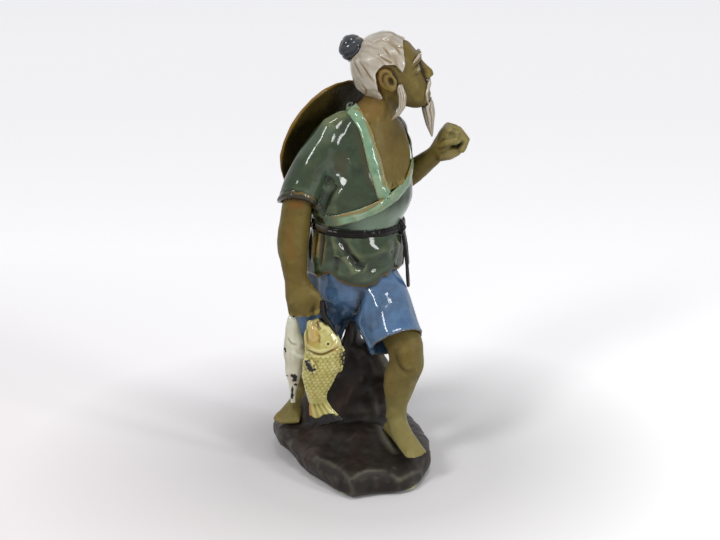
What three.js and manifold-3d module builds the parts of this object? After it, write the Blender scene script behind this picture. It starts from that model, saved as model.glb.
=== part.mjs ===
// Glazed stoneware figurine of a striding fisherman, in millimetres with +Z up.
// Every mesh is one clay element that a potter forms by itself and lutes to its neighbours before
// the firing, so nothing moves. +X is the way the head looks, and the feet stand on a rock base.

import * as THREE from 'three';
import { mergeVertices } from 'three/addons/utils/BufferGeometryUtils.js';
import Module from 'manifold-3d';

const wasm = await Module();
wasm.setup();

// Driving dimensions
const SEAT_GAP = 0.3;            // left between neighbouring elements
const BODY_TURN = -45;           // degrees from +X to the way the chest faces

const PAD_THICKNESS = 1.2;
const PAD_RADIUS = 6;
const BASE_EDGE_HEIGHT = 17;     // top edge of the rock's side faces
const BASE_FOOT_HEIGHT = 22;     // where the left sole stands
const BASE_BACK_REACH = 50;
const VENT_RADIUS = 4.5;
const VENT_DEPTH = 9;
const COLUMN_TOP = 106;
const COLUMN_TOP_RADIUS = 6.8;
const COLUMN_FOOT_WIDTH = 68;

const FOOT_LENGTH = 48;
const FOOT_WIDTH = 19.5;
const TOE_RADIUS = 3.1;
const ANKLE_RADIUS = 7.2;
const CALF_RADIUS = 12.6;
const KNEE_RADIUS = 12.6;

const SHORTS_LEG_RADIUS = 18.8;
const SHORTS_HEM_WALL = 2.2;
const CROTCH_HEIGHT = 102;

const WAIST_HEIGHT = 171;
const WAIST_SLANT = 2.8;         // how much higher the sash sits at his right hip, and lower at his left
const WAIST_WIDTH = 70;
const WAIST_DEPTH = 54;
const CHEST_WIDTH = 71;
const CHEST_DEPTH = 54;
const BLOUSE = 4;                // how far the cloth swells out over the sash
const BACK_BULGE = 14;           // how much fuller the back is than the front
const SHOULDER_HEIGHT = 240;
const SKIRT_LENGTH = 33.5;
const SKIRT_HEM_WIDTH = 72;
const SKIRT_HEM_DEPTH = 61;
const SKIRT_WALL = 2.6;
const PLEAT_DEPTH = 1;
const SWAG_DEPTH = 2;
const HEM_DIP = 5.6;             // how far the hem hangs down under the swag
const HEM_NOTCH = 6.6;           // how far it is drawn up at the pleat beside it
const SASH_HEIGHT = 6.4;
const SASH_PROUD = 1.8;
const SASH_CLEARANCE = 0.4;
const KNOT_SINK = 1.4;           // how far the knot's middle lies inside the waist's edge
const VEE_BOTTOM = 199;          // where the lapels cross
const LAPEL_WIDTH = 9.5;
const LAPEL_THICKNESS = 3;
const TAIL_WIDTH = 7;
const TAIL_THICKNESS = 2.6;

const SLEEVE_RADIUS = 13.4;
const SLEEVE_WALL = 2.4;
const SLEEVE_OPENING_DEPTH = 9;
const SLEEVE_RAISE = 11;         // how much higher the right sleeve's hem is at the front
const ARM_RADIUS = 10.9;
const FOREARM_RADIUS = 9;
const WRIST_RADIUS = 7;
const FINGER_RADIUS = 3;
const NECK_RADIUS = 11.8;

const HEAD_HEIGHT = 52.5;
const HEAD_DEPTH = 46;
const HEAD_WIDTH = 38;
const HEAD_TILT = 17;            // degrees that the face is lifted
const HEAD_RISE = 29.4;          // from the shoulders to the middle of the head
const HAIR_THICKNESS = 2.3;
const HAIR_GROOVE = 0.4;
const HAIR_STRANDS = 7;
const NAPE_FULLNESS = 6;         // how far the hair hangs out behind the neck
const BUN_RADIUS = 9.6;
const EAR_HEIGHT = 16.5;
const TUFT_LENGTH = 22;
const BEARD_LENGTH = 28;

const HAT_RADIUS = 44;
const HAT_HEIGHT = 16;
const HAT_RIM = 3;
const HAT_DISH = 6;
const HAT_BITE = 1.2;

const CARP_LENGTH = 76;
const CARP_WIDTH = 26;
const CARP_THICKNESS = 14;
const WHITE_FISH_LENGTH = 62;
const WHITE_FISH_WIDTH = 14;
const WHITE_FISH_THICKNESS = 10;
const STRING_RADIUS = 1.1;

// Directions and small tools
const spot = (x, y, z) => new THREE.Vector3(x, y, z);
const UP = spot(0, 0, 1);
const AHEAD = spot(1, 0, 0);
const TO_VIEWER = spot(0, -1, 0);
const radians = THREE.MathUtils.degToRad;
const aroundZ = (degrees) => spot(Math.cos(radians(degrees)), Math.sin(radians(degrees)), 0);
const FRONT = aroundZ(BODY_TURN);
const RIGHT = spot(FRONT.y, -FRONT.x, 0);
const bell = (distance, width) => Math.exp(-((distance / width) ** 2));
const rounded = (value, power) => Math.sign(value) * Math.abs(value) ** (2 / power);
const range = (count) => Array.from({ length: count }, (_, index) => index);
const degreesOf = (angle) => ((THREE.MathUtils.radToDeg(angle) + 180) % 360) - 180;

function solidOf(vertProperties, triVerts) {
  return new wasm.Manifold(new wasm.Mesh({ numProp: 3, vertProperties, triVerts }));
}

// A closed skin over rows of points, with a fan to a tip at each end, as a solid facing outwards.
function skin(rows, firstTip, lastTip, frame = null) {
  const sides = rows[0].length;
  const placed = (p) => (frame ? p.clone().applyMatrix4(frame) : p);
  const points = [...rows.flat(), firstTip, lastTip].map(placed);
  const first = rows.length * sides;
  const last = first + 1;
  const top = first - sides;
  const triangles = [];
  for (let side = 0; side < sides; side += 1) {
    const next = (side + 1) % sides;
    triangles.push([first, next, side]);
    triangles.push([last, top + side, top + next]);
    for (let low = 0; low < top; low += sides) {
      const high = low + sides;
      triangles.push([low + side, low + next, high + next]);
      triangles.push([low + side, high + next, high + side]);
    }
  }
  const volume = triangles.reduce((sum, [a, b, c]) => (
    sum + points[a].dot(points[b].clone().cross(points[c]))), 0);
  const facing = volume < 0 ? triangles.map(([a, b, c]) => [a, c, b]) : triangles;
  const numbers = new Float32Array(points.flatMap((p) => p.toArray()));
  return solidOf(numbers, new Uint32Array(facing.flat()));
}

function solidFromGeometry(geometry, frame) {
  const bare = geometry.index ? geometry.toNonIndexed() : geometry;
  bare.deleteAttribute('normal');
  bare.deleteAttribute('uv');
  bare.applyMatrix4(frame);
  const merged = mergeVertices(bare, 1e-4);
  const numbers = new Float32Array(merged.attributes.position.array);
  return solidOf(numbers, new Uint32Array(merged.index.array));
}

// A limb: stations are [x, y, z, half width, front, back], joined by one smooth spine. Its rings lie
// square to the spine, or level, with their front turned to facing, and its ends may be domed. A
// fold pushes points outwards and a lift moves them up, each by their angle from the front.
function limb(stations, grow, options) {
  const { facing = FRONT, sides = 16, steps = 8, power = 2, level = false } = options;
  const { startDome = 0, endDome = 0, fold = null, lift = null, frame = null } = options;
  const spine = new THREE.CatmullRomCurve3(stations.map(([x, y, z]) => spot(x, y, z)), false, 'catmullrom');
  const girths = stations.map(([, , , wide, front, back = front]) => spot(wide, front, back));
  const girth = new THREE.CatmullRomCurve3(girths, false, 'catmullrom');
  const ring = (along, shift, shrink) => {
    const ahead = spine.getTangent(along);
    const axis = level ? UP : ahead;
    const across = axis.clone().cross(facing).normalize();
    const forward = across.clone().cross(axis).normalize();
    const centre = spine.getPoint(along).addScaledVector(ahead, shift);
    const size = girth.getPoint(along);
    return range(sides).map((side) => {
      const angle = (side / sides) * 2 * Math.PI;
      const extra = grow + (fold ? fold(angle, along, centre.z) : 0);
      const reach = Math.cos(angle) > 0 ? size.y : size.z;
      const depth = rounded(Math.cos(angle), power) * (reach + extra) * shrink;
      const width = rounded(Math.sin(angle), power) * (size.x + extra) * shrink;
      return centre.clone().addScaledVector(forward, depth).addScaledVector(across, width)
        .addScaledVector(UP, lift ? lift(angle, along) : 0);
    });
  };
  const start = startDome + grow;
  const end = endDome + grow;
  const domeRows = (sides > 12 ? [0.4, 0.75] : [0.6]).map((part) => part * Math.PI / 2);
  const rows = [];
  if (startDome > 0) {
    domeRows.forEach((turn) => rows.push(ring(0, -start * Math.cos(turn), Math.sin(turn))));
  }
  for (let step = 0; step <= steps; step += 1) {
    const flatStart = step === 0 && startDome === 0 ? -grow : 0;
    const flatEnd = step === steps && endDome === 0 ? grow : 0;
    rows.push(ring(step / steps, flatStart + flatEnd, 1));
  }
  if (endDome > 0) {
    domeRows.reverse().forEach((turn) => rows.push(ring(1, end * Math.cos(turn), Math.sin(turn))));
  }
  const firstTip = spine.getPoint(0).addScaledVector(spine.getTangent(0), -start);
  const lastTip = spine.getPoint(1).addScaledVector(spine.getTangent(1), end);
  return skin(rows, firstTip, lastTip, frame);
}

// A flat band along points, with its flat side turned to the outward directions.
function band(points, outward, width, thickness, grow, { sides = 6, steps = 20, taper = null } = {}) {
  const path = new THREE.CatmullRomCurve3(points, false, 'catmullrom');
  const normals = new THREE.CatmullRomCurve3(outward, false, 'catmullrom');
  const boxy = 3.2;
  const row = (along) => {
    const ahead = path.getTangent(along);
    const across = ahead.clone().cross(normals.getPoint(along)).normalize();
    const out = across.clone().cross(ahead).normalize();
    const share = taper ? taper(along) : 1;
    return range(sides).map((side) => {
      const angle = ((side + 0.5) / sides) * 2 * Math.PI;
      return path.getPoint(along)
        .addScaledVector(across, rounded(Math.cos(angle), boxy) * (width / 2 * share + grow))
        .addScaledVector(out, rounded(Math.sin(angle), boxy) * (thickness / 2 + grow));
    });
  };
  const reach = thickness / 3 + grow;
  const firstTip = path.getPoint(0).addScaledVector(path.getTangent(0), -reach);
  const lastTip = path.getPoint(1).addScaledVector(path.getTangent(1), reach);
  return skin(range(steps + 1).map((step) => row(step / steps)), firstTip, lastTip);
}

// A round tube of clay, such as a finger or a string, with domed ends.
function coil(points, radius, grow, { sides = 6, steps = 5, tip = 0.85 } = {}) {
  const stations = points.map(([x, y, z], index) => {
    const size = radius * (1 - (1 - tip) * (index / (points.length - 1)));
    return [x, y, z, size, size];
  });
  const run = spot(...points.at(-1)).sub(spot(...points[0]));
  const facing = Math.abs(run.y) > Math.abs(run.x) ? UP : TO_VIEWER;
  return limb(stations, grow, { facing, sides, steps, startDome: radius * 0.7, endDome: radius * 0.8 });
}

const joined = (...solids) => solids.reduce((whole, solid) => whole.add(solid));

// The largest body of a cut solid, without the crumbs that a cut may leave.
function largest(solid) {
  return solid.decompose().reduce((best, body) => (body.volume() > best.volume() ? body : best));
}

// Landmarks of the pose
const trunk = (share) => WAIST_HEIGHT + share * (SHOULDER_HEIGHT - WAIST_HEIGHT);
const leftHeel = spot(26, -15, BASE_FOOT_HEIGHT);
const leftAnkle = spot(29.5, -22, BASE_FOOT_HEIGHT + 17);
const leftKnee = spot(35.5, -32, 90);
const leftToes = spot(0.42, -0.9, 0).normalize();
const rightHeel = spot(-31, 42, BASE_FOOT_HEIGHT + 2);
const rightAnkle = spot(-36, 33, BASE_FOOT_HEIGHT + 20);
const rightKnee = spot(-27, 2, 88);
const rightToes = spot(-0.36, -0.93, -0.05).normalize();
const headCentre = spot(25.5, 7, SHOULDER_HEIGHT + HEAD_RISE);
const elbowSide = -WAIST_WIDTH / 2 - 4.5;
const rightWrist = spot(elbowSide + 2.5, -27, WAIST_HEIGHT - 34);
const rightFist = rightWrist.clone().add(spot(5.5, -3, -12));
const leftWrist = spot(56.3, 21.5, SHOULDER_HEIGHT - 28);

const elements = [];
const element = (name, glaze, form) => elements.push({ name, glaze, form });

// Glazes and bare clay, as seen on the fired piece
const finish = (color, roughness) => new THREE.MeshStandardMaterial({ color, roughness, metalness: 0 });
const skinGlaze = finish(0x82733f, 0.45);
const greenGlaze = finish(0x4b5f4b, 0.12);
const celadonGlaze = finish(0x82aa91, 0.12);
const sashGlaze = finish(0x282320, 0.15);
const blueGlaze = finish(0x4b6e96, 0.12);
const rockGlaze = finish(0x322a28, 0.3);
const hairGlaze = finish(0xc8beb4, 0.3);
const bunGlaze = finish(0x283241, 0.12);
const strawGlaze = finish(0x96690f, 0.25);
const carpGlaze = finish(0xc8be6e, 0.15);
const whiteFishGlaze = finish(0xd7dcc8, 0.15);
const stringGlaze = finish(0x141214, 0.2);
const feltCloth = finish(0xc9d07a, 0.95);

// Felt pads under the corners of the rock
const pads = { front_right: [36, -50], front_left: [-2, -58], back_left: [-38, 34], back_right: [32, 32] };
Object.entries(pads).forEach(([corner, [x, y]]) => {
  element(`felt_pad_${corner}`, feltCloth, (grow) => {
    const radius = PAD_RADIUS + grow;
    const top = PAD_THICKNESS + grow;
    const profile = [[0, -grow], [radius, -grow], [radius, top], [0, top]];
    const disc = new THREE.LatheGeometry(profile.map(([r, h]) => new THREE.Vector2(r, h)), 12);
    return solidFromGeometry(disc, new THREE.Matrix4().makeRotationX(Math.PI / 2).setPosition(x, y, 0));
  });
});

// Feet with rolled toes, legs and their calves
function foot(heel, ankle, toeward, grow) {
  const across = toeward.clone().cross(UP).normalize();
  const at = (along, side, rise) => heel.clone().addScaledVector(toeward, along)
    .addScaledVector(across, side).add(spot(0, 0, rise)).toArray();
  const wide = FOOT_WIDTH / 2;
  const sole = limb([
    [...at(-2, 0, 5.5), wide * 0.56, 5.5],
    [...at(FOOT_LENGTH * 0.2, 0, 7), wide * 0.66, 7],
    [...at(FOOT_LENGTH * 0.5, 0.6, 6.2), wide * 0.88, 6.2],
    [...at(FOOT_LENGTH * 0.76, 0.8, 4.2), wide, 4.2],
    [...at(FOOT_LENGTH * 0.84, 0.5, 3.4), wide * 0.95, 3.4],
  ], grow, { facing: UP, sides: 8, steps: 3, startDome: 4, endDome: 2 });
  const instep = limb([
    [...at(FOOT_LENGTH * 0.72, 0.3, 4), wide * 0.72, 3.6],
    [...at(FOOT_LENGTH * 0.42, 0.2, 9.5), wide * 0.62, 6],
    [ankle.x, ankle.y, ankle.z - 5, ANKLE_RADIUS + 0.3, ANKLE_RADIUS + 0.6],
    [ankle.x, ankle.y, ankle.z + 1, ANKLE_RADIUS, ANKLE_RADIUS],
  ], grow, { facing: across, sides: 8, steps: 2, startDome: 2 });
  const toeSizes = [1.25, 0.95, 0.92, 0.88, 0.82];
  const toeTips = [0.97, 0.98, 0.955, 0.92, 0.88];
  const toes = toeSizes.map((share, toe) => {
    const side = wide * (0.74 - 0.37 * toe);
    const size = TOE_RADIUS * share;
    const root = at(FOOT_LENGTH * 0.78, side * 0.95, size + 0.9);
    const tip = at(FOOT_LENGTH * toeTips[toe] - size, side, size);
    return coil([root, tip], size, grow, { sides: 5, steps: 1, tip: 0.95 });
  });
  return joined(sole, instep, ...toes);
}
element('left_foot', skinGlaze, (grow) => foot(leftHeel, leftAnkle, leftToes, grow));
element('right_foot', skinGlaze, (grow) => foot(rightHeel, rightAnkle, rightToes, grow));

element('left_leg', skinGlaze, (grow) => limb([
  [leftAnkle.x, leftAnkle.y, leftAnkle.z - 1, ANKLE_RADIUS + 0.2, ANKLE_RADIUS + 0.2],
  [30, -23, 48, ANKLE_RADIUS + 0.3, ANKLE_RADIUS + 0.3, ANKLE_RADIUS + 1],
  [31.6, -25, 61, CALF_RADIUS * 0.88, 10, CALF_RADIUS],
  [32.8, -27, 70, CALF_RADIUS * 0.98, 11, CALF_RADIUS + 1],
  [leftKnee.x + 1, leftKnee.y + 1, leftKnee.z - 9, KNEE_RADIUS - 0.6, KNEE_RADIUS + 1, KNEE_RADIUS],
  [leftKnee.x, leftKnee.y + 2, leftKnee.z + 1, KNEE_RADIUS, KNEE_RADIUS + 1, KNEE_RADIUS],
  [leftKnee.x - 6, leftKnee.y + 9, leftKnee.z + 15, KNEE_RADIUS + 1, KNEE_RADIUS + 1],
], grow, { facing: leftToes, sides: 11, steps: 6, endDome: 4 }));
element('right_leg', skinGlaze, (grow) => limb([
  [rightAnkle.x, rightAnkle.y, rightAnkle.z - 1, ANKLE_RADIUS + 0.2, ANKLE_RADIUS + 0.2],
  [-35, 28, 51, ANKLE_RADIUS + 0.5, ANKLE_RADIUS + 0.3, ANKLE_RADIUS + 1.4],
  [-32.8, 20.5, 63, CALF_RADIUS * 0.9, 9.4, CALF_RADIUS],
  [-30.4, 13, 75, CALF_RADIUS * 0.95, 10.8, CALF_RADIUS],
  [rightKnee.x, rightKnee.y, rightKnee.z + 4, KNEE_RADIUS, KNEE_RADIUS],
  [rightKnee.x + 5, rightKnee.y + 3, rightKnee.z + 18, KNEE_RADIUS, KNEE_RADIUS],
], grow, { facing: leftToes, sides: 10, steps: 6, endDome: 4 }));

// Arms, and hands built from a palm and rolled fingers
element('right_arm', skinGlaze, (grow) => limb([
  [elbowSide + 6.5, -20, trunk(0.49), ARM_RADIUS - 0.6, ARM_RADIUS - 0.6],
  [elbowSide + 3, -20, trunk(0.19), ARM_RADIUS, ARM_RADIUS],
  [elbowSide, -21, WAIST_HEIGHT - 8, ARM_RADIUS + 0.6, ARM_RADIUS + 0.6],
  [elbowSide + 0.5, -24, WAIST_HEIGHT - 21, ARM_RADIUS - 1.4, ARM_RADIUS - 1.2],
  [rightWrist.x, rightWrist.y, rightWrist.z, WRIST_RADIUS + 1.6, WRIST_RADIUS],
], grow, { sides: 12, steps: 5 }));
element('left_forearm', skinGlaze, (grow) => limb([
  [28, 34, SHOULDER_HEIGHT - 51, FOREARM_RADIUS + 0.8, FOREARM_RADIUS + 0.8],
  [35, 32, SHOULDER_HEIGHT - 47, FOREARM_RADIUS + 0.2, FOREARM_RADIUS + 0.2],
  [42.5, 28.5, SHOULDER_HEIGHT - 40.7, FOREARM_RADIUS - 0.6, FOREARM_RADIUS - 0.6],
  [leftWrist.x, leftWrist.y, leftWrist.z, WRIST_RADIUS - 0.4, WRIST_RADIUS - 0.7],
], grow, { facing: UP, sides: 10, steps: 3, startDome: 4 }));

const fishLineTop = rightFist.clone().add(spot(13.5, -7.5, 2));
const carpMouth = rightFist.clone().add(spot(10.5, -6, -12));
const whiteFishMouth = rightFist.clone().add(spot(-8.5, 3, -12));
element('carp_string', stringGlaze, (grow) => coil([
  fishLineTop.toArray(), [carpMouth.x + 4.6, carpMouth.y - 2.5, carpMouth.z + 6],
  [carpMouth.x + 2, carpMouth.y, carpMouth.z - 3],
], STRING_RADIUS, grow, { sides: 5, steps: 4, tip: 1 }));
element('white_fish_string', stringGlaze, (grow) => coil([
  [whiteFishMouth.x + 2, whiteFishMouth.y - 2, whiteFishMouth.z + 6],
  [whiteFishMouth.x, whiteFishMouth.y, whiteFishMouth.z - 3],
], STRING_RADIUS, grow, { sides: 5, steps: 2, tip: 1 }));

element('right_hand', skinGlaze, (grow) => {
  const palm = limb([
    [rightWrist.x, rightWrist.y, rightWrist.z + 1, WRIST_RADIUS + 1.4, WRIST_RADIUS],
    [rightFist.x - 3.5, rightFist.y + 2, rightFist.z + 6, 11, 7.6],
    [rightFist.x - 1, rightFist.y + 0.5, rightFist.z, 12, 8.4],
    [rightFist.x - 0.4, rightFist.y + 0.5, rightFist.z - 4, 11.6, 7.8],
  ], grow, { facing: spot(0.15, -1, 0), sides: 10, steps: 3, endDome: 5, power: 2.3 });
  const fingerDrops = [0, 0.8, 0.6, -0.6];
  const fingers = fingerDrops.map((drop, finger) => {
    const x = rightFist.x - 8.8 + finger * 5.5;
    const z = rightFist.z - drop;
    return coil([[x, rightFist.y - 5.2, z], [x, rightFist.y - 7, z - 5],
      [x, rightFist.y - 3, z - 9], [x, rightFist.y + 3, z - 7]],
    FINGER_RADIUS, grow, { sides: 6, steps: 2, tip: 0.9 });
  });
  const thumb = coil([[rightWrist.x + 5, rightWrist.y - 3, rightWrist.z - 3],
    [rightFist.x + 9, rightFist.y - 4, rightFist.z + 5],
    [rightFist.x + 11.6, rightFist.y - 6.7, rightFist.z - 2.2],
    [rightFist.x + 7.6, rightFist.y - 9.3, rightFist.z - 5.4]],
  FINGER_RADIUS * 1.15, grow, { sides: 6, steps: 3, tip: 0.85 });
  return joined(palm, ...fingers, thumb);
});

element('left_hand', skinGlaze, (grow) => {
  const from = (x, y, z) => [leftWrist.x + x, leftWrist.y + y, leftWrist.z + z];
  const palm = limb([
    [...from(0, 0, 0), WRIST_RADIUS, WRIST_RADIUS - 0.6],
    [...from(3.5, -1, 6), 8.8, 6.6],
    [...from(6.3, -1.1, 13), 10.2, 5.2],
    [...from(8.3, -1.1, 17.6), 10.2, 4],
  ], grow, { facing: spot(1, 0, -0.6), sides: 8, steps: 3, endDome: 2.5, power: 2.4 });
  const heel = limb([
    [...from(2.2, -2.5, 0.5), 7, 5.4], [...from(8.7, -1.9, 1.6), 8.8, 5],
    [...from(13.7, -1.1, 3.6), 8.6, 4.2],
  ], grow, { facing: UP, sides: 7, steps: 2, startDome: 3, endDome: 3 });
  const fingerReach = [0, 1, 0.3, -1.6];
  const fingers = fingerReach.map((reach, finger) => {
    const side = finger * 5.3 - 8.9;
    return coil([from(7.7, side, 18), from(14.7 + reach, side, 16.4), from(19.1 + reach, side, 10.6),
      from(16.7 + reach, side, 5)],
    FINGER_RADIUS, grow, { sides: 5, steps: 3, tip: 0.92 });
  });
  const thumb = coil([from(1.2, -5.5, 4), from(4.7, -9.9, 8.4), from(9.2, -12.1, 11),
    from(13.7, -12.5, 12.4)], FINGER_RADIUS * 1.08, grow, { sides: 6, steps: 2, tip: 0.95 });
  return joined(palm, heel, ...fingers, thumb);
});

// Head: level slices in the head's own frame, where x is forward, y his left and z up
const headFrame = new THREE.Matrix4().makeBasis(
  spot(Math.cos(radians(HEAD_TILT)), 0, Math.sin(radians(HEAD_TILT))),
  spot(0, 1, 0),
  spot(-Math.sin(radians(HEAD_TILT)), 0, Math.cos(radians(HEAD_TILT))),
).setPosition(headCentre);
const headX = HEAD_DEPTH / 46;
const headY = HEAD_WIDTH / 38;
const headZ = HEAD_HEIGHT / 54;
const inHead = (x, y, z) => [x * headX, y * headY, z * headZ];
// Each slice is height, front, back and half width, on the usual proportions of an adult head
const headSlices = [
  [-26.5, 19, -6, 6], [-22, 21.5, 0, 11], [-16, 21, 7, 14.5], [-9, 20.5, 14, 16.8],
  [-1, 20, 19.5, 18.4], [6, 21.5, 22.5, 19], [13, 20.5, 23.2, 18.7], [20, 15.5, 20, 16.2], [25, 8, 12, 10],
];
const skullStations = headSlices.map(([z, front, back, half]) => {
  const middle = (front - back) / 2;
  return [...inHead(middle, 0, z), half * headY, (front + back) / 2 * headX];
});
function skull(grow, fold = null, sides = 14) {
  return limb(skullStations, grow, {
    facing: AHEAD, sides, steps: 6, level: true, startDome: 1.5, endDome: 2.4, power: 2.25, fold,
    frame: headFrame,
  });
}

function headFeatures(grow) {
  const inFrame = { frame: headFrame, facing: AHEAD };
  const nose = limb([
    [...inHead(19.5, 0, 5), 2.2, 2.2], [...inHead(20.8, 0, 0), 2.6, 3],
    [...inHead(22, 0, -5), 4, 5], [...inHead(21.5, 0, -8.5), 4.8, 5.6],
  ], grow, { ...inFrame, sides: 6, steps: 3, level: true, startDome: 2, endDome: 1.8 });
  const brow = limb([
    [...inHead(15, -14, 4.5), 2, 1.8], [...inHead(20.4, -7, 6.5), 2.4, 2],
    [...inHead(21.2, 0, 5.5), 2, 1.6],
    [...inHead(20.4, 7, 6.5), 2.4, 2], [...inHead(15, 14, 4.5), 2, 1.8],
  ], grow, { ...inFrame, sides: 5, steps: 3, startDome: 1, endDome: 1 });
  const lip = (z, size) => limb([
    [...inHead(18.5, -6.5, z + 0.5), 0.9, 0.9], [...inHead(21, -3, z), size, size],
    [...inHead(21.6, 0, z), size, size],
    [...inHead(21, 3, z), size, size], [...inHead(18.5, 6.5, z + 0.5), 0.9, 0.9],
  ], grow, { ...inFrame, sides: 4, steps: 3, startDome: 0.6, endDome: 0.6 });
  const eye = (side) => limb([
    [...inHead(15.2, side * 12.3, 0), 1.6, 1.6], [...inHead(17.6, side * 8.5, 0.4), 2.8, 2.6],
    [...inHead(18.4, side * 4.6, -0.2), 1.5, 1.4],
  ], grow, { ...inFrame, sides: 5, steps: 2, startDome: 0.8, endDome: 0.8 });
  return joined(nose, brow, lip(-13.2, 1.4), lip(-15.6, 1.5), eye(-1), eye(1));
}

const ear = (side) => (grow) => limb([
  [...inHead(-1.6, side * 17.4, 0.6), EAR_HEIGHT / 2 * 0.84, 4.6],
  [...inHead(-2.6, side * 20.4, 0.4), EAR_HEIGHT / 2, 5.6],
], grow, { frame: headFrame, facing: spot(1, 0, 0.25), sides: 10, steps: 1, startDome: 2, endDome: 1.4 });

// Robe above the waist: one lofted body that leans forward, swells over the sash and is fuller at
// the back. Each row is x, y, height, half width, front and back
const torsoRows = [
  [3.2, 0, WAIST_HEIGHT, WAIST_WIDTH / 2, WAIST_DEPTH / 2, WAIST_DEPTH / 2],
  [3.2, 0, WAIST_HEIGHT + SASH_HEIGHT * 0.75, WAIST_WIDTH / 2, WAIST_DEPTH / 2, WAIST_DEPTH / 2],
  [3.6, 0, WAIST_HEIGHT + SASH_HEIGHT * 1.4, WAIST_WIDTH / 2 + BLOUSE * 0.8, WAIST_DEPTH / 2 + BLOUSE * 0.6,
    WAIST_DEPTH / 2 + BACK_BULGE * 0.45],
  [5.6, 0, trunk(0.24), WAIST_WIDTH / 2 + BLOUSE, WAIST_DEPTH / 2 + BLOUSE * 0.8,
    WAIST_DEPTH / 2 + BACK_BULGE * 0.9],
  [9, 0.5, trunk(0.475), CHEST_WIDTH / 2, CHEST_DEPTH / 2, CHEST_DEPTH / 2 + BACK_BULGE],
  [11, 1.5, trunk(0.705), CHEST_WIDTH / 2 - 3.5, CHEST_DEPTH / 2 - 4.5, CHEST_DEPTH / 2 + BACK_BULGE * 0.9],
  [12, 2.5, trunk(0.87), CHEST_WIDTH / 2 - 8.5, CHEST_DEPTH / 2 - 7.5, CHEST_DEPTH / 2 + BACK_BULGE * 0.3],
  [12, 3, SHOULDER_HEIGHT, CHEST_WIDTH / 2 - 14, CHEST_DEPTH / 2 - 11, CHEST_DEPTH / 2 - 6],
  [12, 4, trunk(1.1), CHEST_WIDTH / 2 - 19, CHEST_DEPTH / 2 - 14, CHEST_DEPTH / 2 - 12],
];
const waistSlant = (angle) => -WAIST_SLANT * Math.sin(angle - radians(BODY_TURN));
const torso = (grow) => limb(torsoRows, grow, {
  sides: 24, steps: 8, level: true, endDome: 4,
  lift: (angle, along) => waistSlant(angle) * Math.max(0, 1 - 2 * along),
});

// A point on the robe at a height, at an angle in degrees from his front round to his right side
const torsoSpine = new THREE.CatmullRomCurve3(
  torsoRows.map(([x, y, z]) => spot(x, y, z)), false, 'catmullrom',
);
const torsoGirth = new THREE.CatmullRomCurve3(
  torsoRows.map(([, , , wide, front, back]) => spot(wide, front, back)), false, 'catmullrom',
);
function onRobe(height, degrees, proud = 0) {
  let low = 0;
  let high = 1;
  for (let halving = 0; halving < 30; halving += 1) {
    const middle = (low + high) / 2;
    if (torsoSpine.getPoint(middle).z < height) low = middle;
    else high = middle;
  }
  const size = torsoGirth.getPoint(low);
  const ahead = Math.cos(radians(degrees));
  const aside = Math.sin(radians(degrees));
  const depth = (ahead > 0 ? size.y : size.z);
  const out = FRONT.clone().multiplyScalar(ahead / depth).addScaledVector(RIGHT, aside / size.x).normalize();
  const place = torsoSpine.getPoint(low)
    .addScaledVector(FRONT, ahead * depth).addScaledVector(RIGHT, aside * size.x);
  return { place: place.addScaledVector(out, proud), out };
}

// Lapels: bands on the robe, each stop being a height and an angle. The collar runs up from where
// they cross to the nape, and the left one wraps on below it towards the sash at his right side
const napeHeight = SHOULDER_HEIGHT + 6;
const collar = (share) => VEE_BOTTOM + share * (napeHeight - VEE_BOTTOM);
const wrap = (share) => VEE_BOTTOM - share * (VEE_BOTTOM - WAIST_HEIGHT - SASH_HEIGHT * 1.35);
const rightCollar = [[0, 15], [0.27, 25], [0.49, 32], [0.76, 41], [0.94, 62]]
  .map(([share, degrees]) => [collar(share), degrees]);
const leftCollar = [[0.03, -22], [0.17, -38], [0.4, -56], [0.64, -72], [0.85, -95]]
  .map(([share, degrees]) => [collar(share), degrees]);
const rightLapelStops = [
  [wrap(0.32), 10], ...rightCollar, [collar(1), 100], [collar(1.01), 140], [collar(1), 176],
];
const leftLapelStops = [
  [collar(1), -176], [collar(0.98), -135], ...leftCollar.toReversed(),
  ...[[0.18, -6], [0.41, 10], [0.62, 29], [0.8, 48], [0.92, 64], [1, 78]]
    .map(([share, degrees]) => [wrap(share), degrees]),
];

// Bare chest: the part of the trunk between the lapels, and the neck rising from it
element('chest_neck', skinGlaze, (grow) => {
  const neck = limb([
    [12, 1, SHOULDER_HEIGHT - 6, NECK_RADIUS + 8, NECK_RADIUS + 5],
    [13.5, 2, SHOULDER_HEIGHT + 1, NECK_RADIUS + 5.4, NECK_RADIUS + 3],
    [17, 4, SHOULDER_HEIGHT + 8, NECK_RADIUS + 1.2, NECK_RADIUS + 0.4],
    [21, 6, SHOULDER_HEIGHT + 15, NECK_RADIUS, NECK_RADIUS - 0.5],
    [23, 7, SHOULDER_HEIGHT + 21, NECK_RADIUS, NECK_RADIUS - 0.5],
  ], grow, { sides: 12, steps: 4 });
  const middleTurn = (rightCollar[1][1] + leftCollar[1][1]) / 2;
  const outward = aroundZ(BODY_TURN - middleTurn);
  const sideways = outward.clone().cross(UP).negate();
  const margin = grow * 1.3;
  const across = ([height, degrees], shift) => (
    new THREE.Vector2(onRobe(height, degrees).place.dot(sideways) + shift, height));
  const outline = [
    ...rightCollar.map((stop) => across(stop, -margin)),
    ...leftCollar.toReversed().map((stop) => across(stop, margin)),
  ];
  outline[0].y -= margin;
  const vee = new THREE.ExtrudeGeometry(new THREE.Shape(outline), { depth: 80, bevelEnabled: false });
  const stand = new THREE.Matrix4().makeBasis(sideways, UP, sideways.clone().cross(UP))
    .setPosition(torsoSpine.getPoint(0.6).projectOnVector(outward).addScaledVector(outward, 4 - grow));
  const chest = torso(grow + 0.2).intersect(solidFromGeometry(vee, stand));
  return joined(chest, neck);
});

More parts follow.
